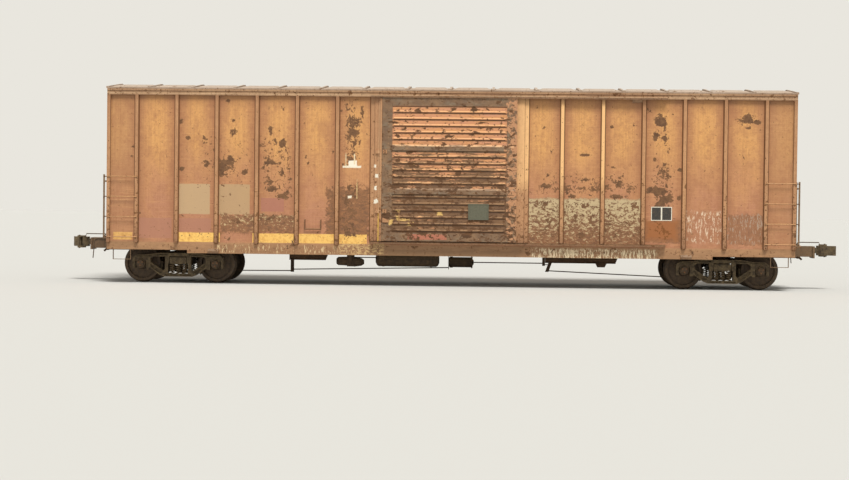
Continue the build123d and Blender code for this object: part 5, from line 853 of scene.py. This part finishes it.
def chain_link(length, wire):
    """One long link of round wire, lying along Z."""
    bm = bmesh.new()
    bend = 1.5 * wire
    stand = Matrix.Translation((bend, 0, 0)) @ Matrix.Rotation(math.pi / 2, 4, "X")
    ring = bmesh.ops.create_circle(bm, segments=6, radius=wire, matrix=stand)
    edges = list({e for v in ring["verts"] for e in v.link_edges})
    bmesh.ops.spin(
        bm,
        geom=ring["verts"] + edges,
        cent=(0, 0, 0),
        axis=(0, 0, 1),
        angle=2 * math.pi,
        steps=12,
        use_merge=True,
    )
    bmesh.ops.remove_doubles(bm, verts=bm.verts, dist=0.05 * wire)
    bmesh.ops.rotate(bm, verts=bm.verts, cent=(0, 0, 0), matrix=Matrix.Rotation(math.pi / 2, 3, "X"))
    for side in (-1, 1):
        half = [v for v in bm.verts if side * v.co.z > 0.01 * wire]
        bmesh.ops.translate(bm, verts=half, vec=(0, 0, side * (length / 2 - bend - wire)))
    return bm


def chain(start, end, links, wire):
    """A straight chain between two points, every second link a quarter turned."""
    start, end = Vector(start), Vector(end)
    pitch = (end - start).length / links
    stands = []
    for i in range(links):
        middle = start.lerp(end, (i + 0.5) / links)
        quarter = Matrix.Rotation(math.pi / 2 * (i % 2), 4, "Z")
        stands.append(turned_to(end - start, middle) @ quarter)
    return copies(chain_link(pitch + 3.2 * wire, wire), stands)


def ring_of_points(radius, count, turned):
    """Evenly spaced points round a circle, as pairs across and up; turned is a part of the spacing."""
    angles = [math.tau * (i + turned) / count for i in range(count)]
    return [(radius * math.cos(a), radius * math.sin(a)) for a in angles]


def add_body_rivets():
    """Rivets along both edges of every roof seam, up the ends' corners and along the fascia."""
    places = []
    for seam in row(-ROOF_END_X, 2 * ROOF_END_X / ROOF_PANELS, ROOF_PANELS + 1):
        for x in (seam - ROOF_RIVET_OFF_SEAM, seam + ROOF_RIVET_OFF_SEAM):
            if abs(x) > ROOF_END_X - ROOF_RIVET_OFF_END:
                continue
            for y in ROOF_RIVET_Y:
                z = ROOF_PEAK_Z - ROOF_SLOPE * y
                places += [((x, side * y, z), (0, side * ROOF_SLOPE, 1)) for side in (-1, 1)]
    make_piece(repeat(rivet_head(11 * MM, 5 * MM), places), "roof_rivets", [bolt_steel])

    places = [((END_FACE_X, side * END_RIVET_Y, z), (1, 0, 0)) for z in END_RIVET_Z for side in (-1, 1)]
    rivets = repeat(rivet_head(12 * MM, 6 * MM), both_ways(places))
    make_piece(rivets, "end_wall_rivets", [end_paint])

    places = [((x, -POST_Y + CHORD_RECESS, CHORD_RIVET_Z), (0, -1, 0)) for x in CHORD_RIVET_X]
    rivets = repeat(rivet_head(11 * MM, 4 * MM), both_ways(places))
    make_piece(rivets, "top_chord_rivets", [chord_paint])


def add_ladder_fasteners():
    """Two bolts in each foot of the side ladders' rungs, and nuts on the end ladders' rungs."""
    places = []
    for z in RUNG_Z:
        for x in (-CORNER_RUNG_FOOT_X, -LAST_POST_X, LAST_POST_X, CORNER_RUNG_FOOT_X):
            for off in (-RUNG_BOLT_OFF, RUNG_BOLT_OFF):
                places.append(((x, -POST_Y - RUNG_FOOT_PROUD, z + off), (0, -1, 0)))
    bolts = repeat(hexagon_bolt(13 * MM, 7 * MM), both_ways(places))
    make_piece(bolts, "side_ladder_bolts", [bolt_steel])

    places = []
    for z in RUNG_Z:
        for side in (-1, 1):
            places.append(((END_LADDER_X, side * END_LADDER_OUTER_Y, z), (0, side, 0)))
            places.append(((END_LADDER_X, side * END_LADDER_INNER_Y, z), (0, -side, 0)))
    nuts = repeat(hexagon_bolt(26 * MM, 10 * MM), both_ways(places))
    make_piece(nuts, "end_ladder_nuts", [bolt_steel])


def add_cylinder_bolts():
    """Bolts round the brake cylinder's flange."""
    x, y, z = CYLINDER_FLANGE
    ring = ring_of_points(CYLINDER_BOLT_RADIUS, 8, 0.5)
    places = [((x, y + across, z + up), (1, 0, 0)) for across, up in ring]
    bolts = repeat(hexagon_bolt(19 * MM, 10 * MM), places)
    make_piece(bolts, "brake_cylinder_bolts", [bolt_steel])


def add_door_fasteners():
    """Rivets round each door's frame, bolts in its lock plates, nuts on its roller pins."""
    out = (0, -1, 0)
    rivets = []
    for x in (-DOOR_STILE_RIVET_X, DOOR_STILE_RIVET_X):
        rivets += [((x, -DOOR_FRAME_Y, z), out) for z in DOOR_STILE_RIVET_Z]
    for z in DOOR_RAIL_RIVET_Z:
        rivets += [((x, -DOOR_FRAME_Y, z), out) for x in DOOR_RAIL_RIVET_X]
    bolts = []
    for z in LOCK_PLATE_Z:
        for off in (-LOCK_BOLT_OFF, LOCK_BOLT_OFF):
            bolts.append(((LOCK_PLATE_X, -DOOR_FRAME_Y - LOCK_PLATE_PROUD, z + off), out))
    bolts += [((side * ROLLER_PIN_X, -DOOR_FRAME_Y, ROLLER_PIN_Z), out) for side in (-1, 1)]
    for turn, side in ((1, "near"), (-1, "far")):
        for name, pattern, places, finish in (
            ("frame_rivets", rivet_head(11 * MM, 5 * MM), rivets, door_paint),
            ("bolts", hexagon_bolt(24 * MM, 10 * MM), bolts, bolt_steel),
        ):
            here = [((turn * x, turn * y, z), (0, turn * dy, 0)) for (x, y, z), (_, dy, _) in places]
            make_piece(repeat(pattern, here), f"{side}_door_{name}", [finish], f"{side}_door")


def add_cap_screws():
    """Three cap screws on each end of every axle."""
    ring = ring_of_points(CAP_SCREW_RADIUS, 3, 0.25)
    for truck, truck_side in (("right", 1), ("left", -1)):
        for place, axle_side in (("outer", 1), ("inner", -1)):
            x = truck_side * (TRUCK_X + axle_side * AXLE_X)
            places = []
            for across, up in ring:
                for side in (-1, 1):
                    places.append(((x + across, side * AXLE_END_Y, AXLE_Z + up), (0, side, 0)))
            screws = repeat(hexagon_bolt(34 * MM, 16 * MM), places)
            name = f"{truck}_{place}_wheelset"
            make_piece(screws, f"{name}_cap_screws", [bolt_steel], name)


def standing_sheet(area, y, columns, rows):
    """A grid of faces that stands upright in an area (x0, x1, z0, z1), facing the near side."""
    bm = bmesh.new()
    x0, x1, z0, z1 = area
    stand = Matrix.Translation(((x0 + x1) / 2, y, (z0 + z1) / 2))
    stand = stand @ Matrix.Rotation(math.pi / 2, 4, "X") @ Matrix.Diagonal((x1 - x0, z1 - z0, 1, 1))
    bmesh.ops.create_grid(bm, x_segments=columns, y_segments=rows, size=0.5, matrix=stand)
    return bm


def marking_plate():
    """A blank black plate with a white frame that divides it in two, on the side sheet."""
    proud, frame_width, thickness = 4 * MM, 22 * MM, 8 * MM
    bm = standing_sheet(PLATE_AREA, -SHEET_Y - proud, 2, 1)
    made = bmesh.ops.inset_individual(bm, faces=bm.faces[:], thickness=frame_width, depth=0)
    for face in made["faces"]:
        face.material_index = 1
    bmesh.ops.solidify(bm, geom=bm.faces[:], thickness=thickness)
    return bm


def bar_bracket():
    """A round bar bent into a wide U, welded by its two ends to the side sheet."""
    bm = bmesh.new()
    x0, x1, z0, z1 = BRACKET_AREA
    rooted, reach, radius = 5 * MM, 42 * MM, 13 * MM
    inside, out = -SHEET_Y + rooted, -SHEET_Y - reach
    route = [(x0, inside, z1), (x0, out, z1), (x0, out, z0), (x1, out, z0), (x1, out, z1), (x1, inside, z1)]
    bent_rod(bm, route, radius)
    return bm


def door_board():
    """The placard board on the door: a blank board in a rim of flat bar."""
    bm = bmesh.new()
    x0, x1, z0, z1 = BOARD_AREA
    back, front, rim = -DOOR_FRAME_Y - 2 * MM, -DOOR_FRAME_Y - 16 * MM, 24 * MM
    plank(bm, ((x0 + rim, front + 4 * MM, z0 + rim), (x1 - rim, back, z1 - rim)), 2 * MM)
    bars = (
        ((x0, z0), (x1, z0 + rim)),
        ((x0, z1 - rim), (x1, z1)),
        ((x0, z0 + rim), (x0 + rim, z1 - rim)),
        ((x1 - rim, z0 + rim), (x1, z1 - rim)),
    )
    for (xa, za), (xb, zb) in bars:
        plank(bm, ((xa, front, za), (xb, back, zb)), 3 * MM)
    return bm


def torn_fascia():
    """The torn strip of the fascia's lower edge, curled down and in, clear of the door's path."""
    recess, curl, droop, thickness = 6 * MM, 35 * MM, 20 * MM, 4 * MM
    bm = standing_sheet(TORN_AREA, -POST_Y + recess, 10, 4)
    x0, x1, z0, z1 = TORN_AREA
    for vert in bm.verts:
        # Still joined along its top, furthest in at its left-hand corner
        down = (z1 - vert.co.z) / (z1 - z0)
        free = (x1 - vert.co.x) / (x1 - x0)
        vert.co.y += curl * down * down * (0.3 + 0.7 * free)
        vert.co.z -= droop * down * free * free
    bmesh.ops.solidify(bm, geom=bm.faces[:], thickness=thickness)
    return bm


def half_turned(bm):
    """The bmesh, turned half round about the car's middle."""
    bmesh.ops.rotate(bm, verts=bm.verts, cent=(0, 0, 0), matrix=Matrix.Rotation(math.pi, 3, "Z"))
    return bm


def add_fittings():
    """Plates, boards, brackets, the torn fascia and the uncoupling chains."""
    for shape, name, finishes, near_body, far_body in (
        (marking_plate, "marking_plate", [plate_black, plate_white], "carbody", "carbody"),
        (bar_bracket, "bar_bracket", [bolt_steel], "carbody", "carbody"),
        (door_board, "placard_board", [board_green], "near_door", "far_door"),
    ):
        make_piece(shape(), f"{name}_near", finishes, near_body)
        make_piece(half_turned(shape()), f"{name}_far", finishes, far_body)
    make_piece(torn_fascia(), "torn_fascia_strip", [chord_paint])
    high, low = CHAIN_Z
    for side, end in ((1, "right"), (-1, "left")):
        top = (side * CHAIN_X, side * CHAIN_Y, high)
        foot = (side * (CHAIN_X + CHAIN_LEAN), side * CHAIN_Y, low)
        make_piece(chain(top, foot, 3, 4 * MM), f"uncoupling_chain_{end}", [bolt_steel])


add_body_rivets()
add_ladder_fasteners()
add_cylinder_bolts()
add_door_fasteners()
add_cap_screws()
add_fittings()


# Floor, light and camera


def stage_and_light():
    """A plain pale floor and background, soft light all round, and the photograph's camera."""
    bpy.ops.mesh.primitive_plane_add(size=400)
    ground = bpy.context.object
    ground.name = "floor_stage"
    material, tree, shader = new_finish("pale_studio_floor")
    shader.inputs["Base Color"].default_value = hex_colour("cdcbc4")
    shader.inputs["Roughness"].default_value = 0.9
    shader.inputs["Specular IOR Level"].default_value = 0.2
    ground.data.materials.append(material)

    world = bpy.data.worlds.new("pale_studio")
    bpy.context.scene.world = world
    world.use_nodes = True
    tree = world.node_tree
    tree.nodes.clear()
    rays = [add(tree, "LightPath", out=f"Is {kind} Ray") for kind in ("Camera", "Glossy")]
    seen = add(tree, "Math", {0: rays[0], 1: rays[1]}, operation="MAXIMUM")
    backdrop = add(tree, "Background", {"Color": "e9e6de", "Strength": 1.0})
    light = add(tree, "Background", {"Color": "f4f3f0", "Strength": 0.45})
    mixed = add(tree, "MixShader", {0: seen, 1: light, 2: backdrop})
    output = tree.nodes.new("ShaderNodeOutputWorld")
    tree.links.new(mixed, output.inputs[0])

    # Lamp: direction it shines along, strength, angle in degrees
    lamps = (
        ("high_key", (-0.15, 0.55, -1.0), 3.2, 20),
        ("low_fill", (0.4, 1.0, -0.1), 0.42, 60),
    )
    for name, direction, strength, angle in lamps:
        lamp = bpy.data.lights.new(name, "SUN")
        lamp.energy = strength
        lamp.angle = math.radians(angle)
        holder = bpy.data.objects.new(name, lamp)
        holder.rotation_euler = Vector(direction).to_track_quat("-Z", "Y").to_euler()
        bpy.context.collection.objects.link(holder)

    # Camera matched to the photograph: place, turn, pitch and roll in radians, focal length in pixels
    spot = Vector((1.0811, -42.787, 1.9484 + FLANGE))
    turn, pitch, roll = 0.0393, -0.0220, 0.0116
    focal, photo_width = 1827.7, 849
    ahead = Vector((-math.sin(turn) * math.cos(pitch), math.cos(turn) * math.cos(pitch), math.sin(pitch)))
    level = Vector((math.cos(turn), math.sin(turn), 0))
    upright = level.cross(ahead)
    right = math.cos(roll) * level + math.sin(roll) * upright
    up = -math.sin(roll) * level + math.cos(roll) * upright
    lens = bpy.data.cameras.new("photo_camera")
    lens.sensor_width = 36.0
    lens.lens = focal / photo_width * lens.sensor_width
    lens.clip_end = 500
    camera = bpy.data.objects.new("photo_camera", lens)
    camera.matrix_world = Matrix.Translation(spot) @ Matrix((right, up, -ahead)).transposed().to_4x4()
    bpy.context.collection.objects.link(camera)
    bpy.context.scene.camera = camera
    bpy.context.scene.view_settings.view_transform = "Standard"


stage_and_light()
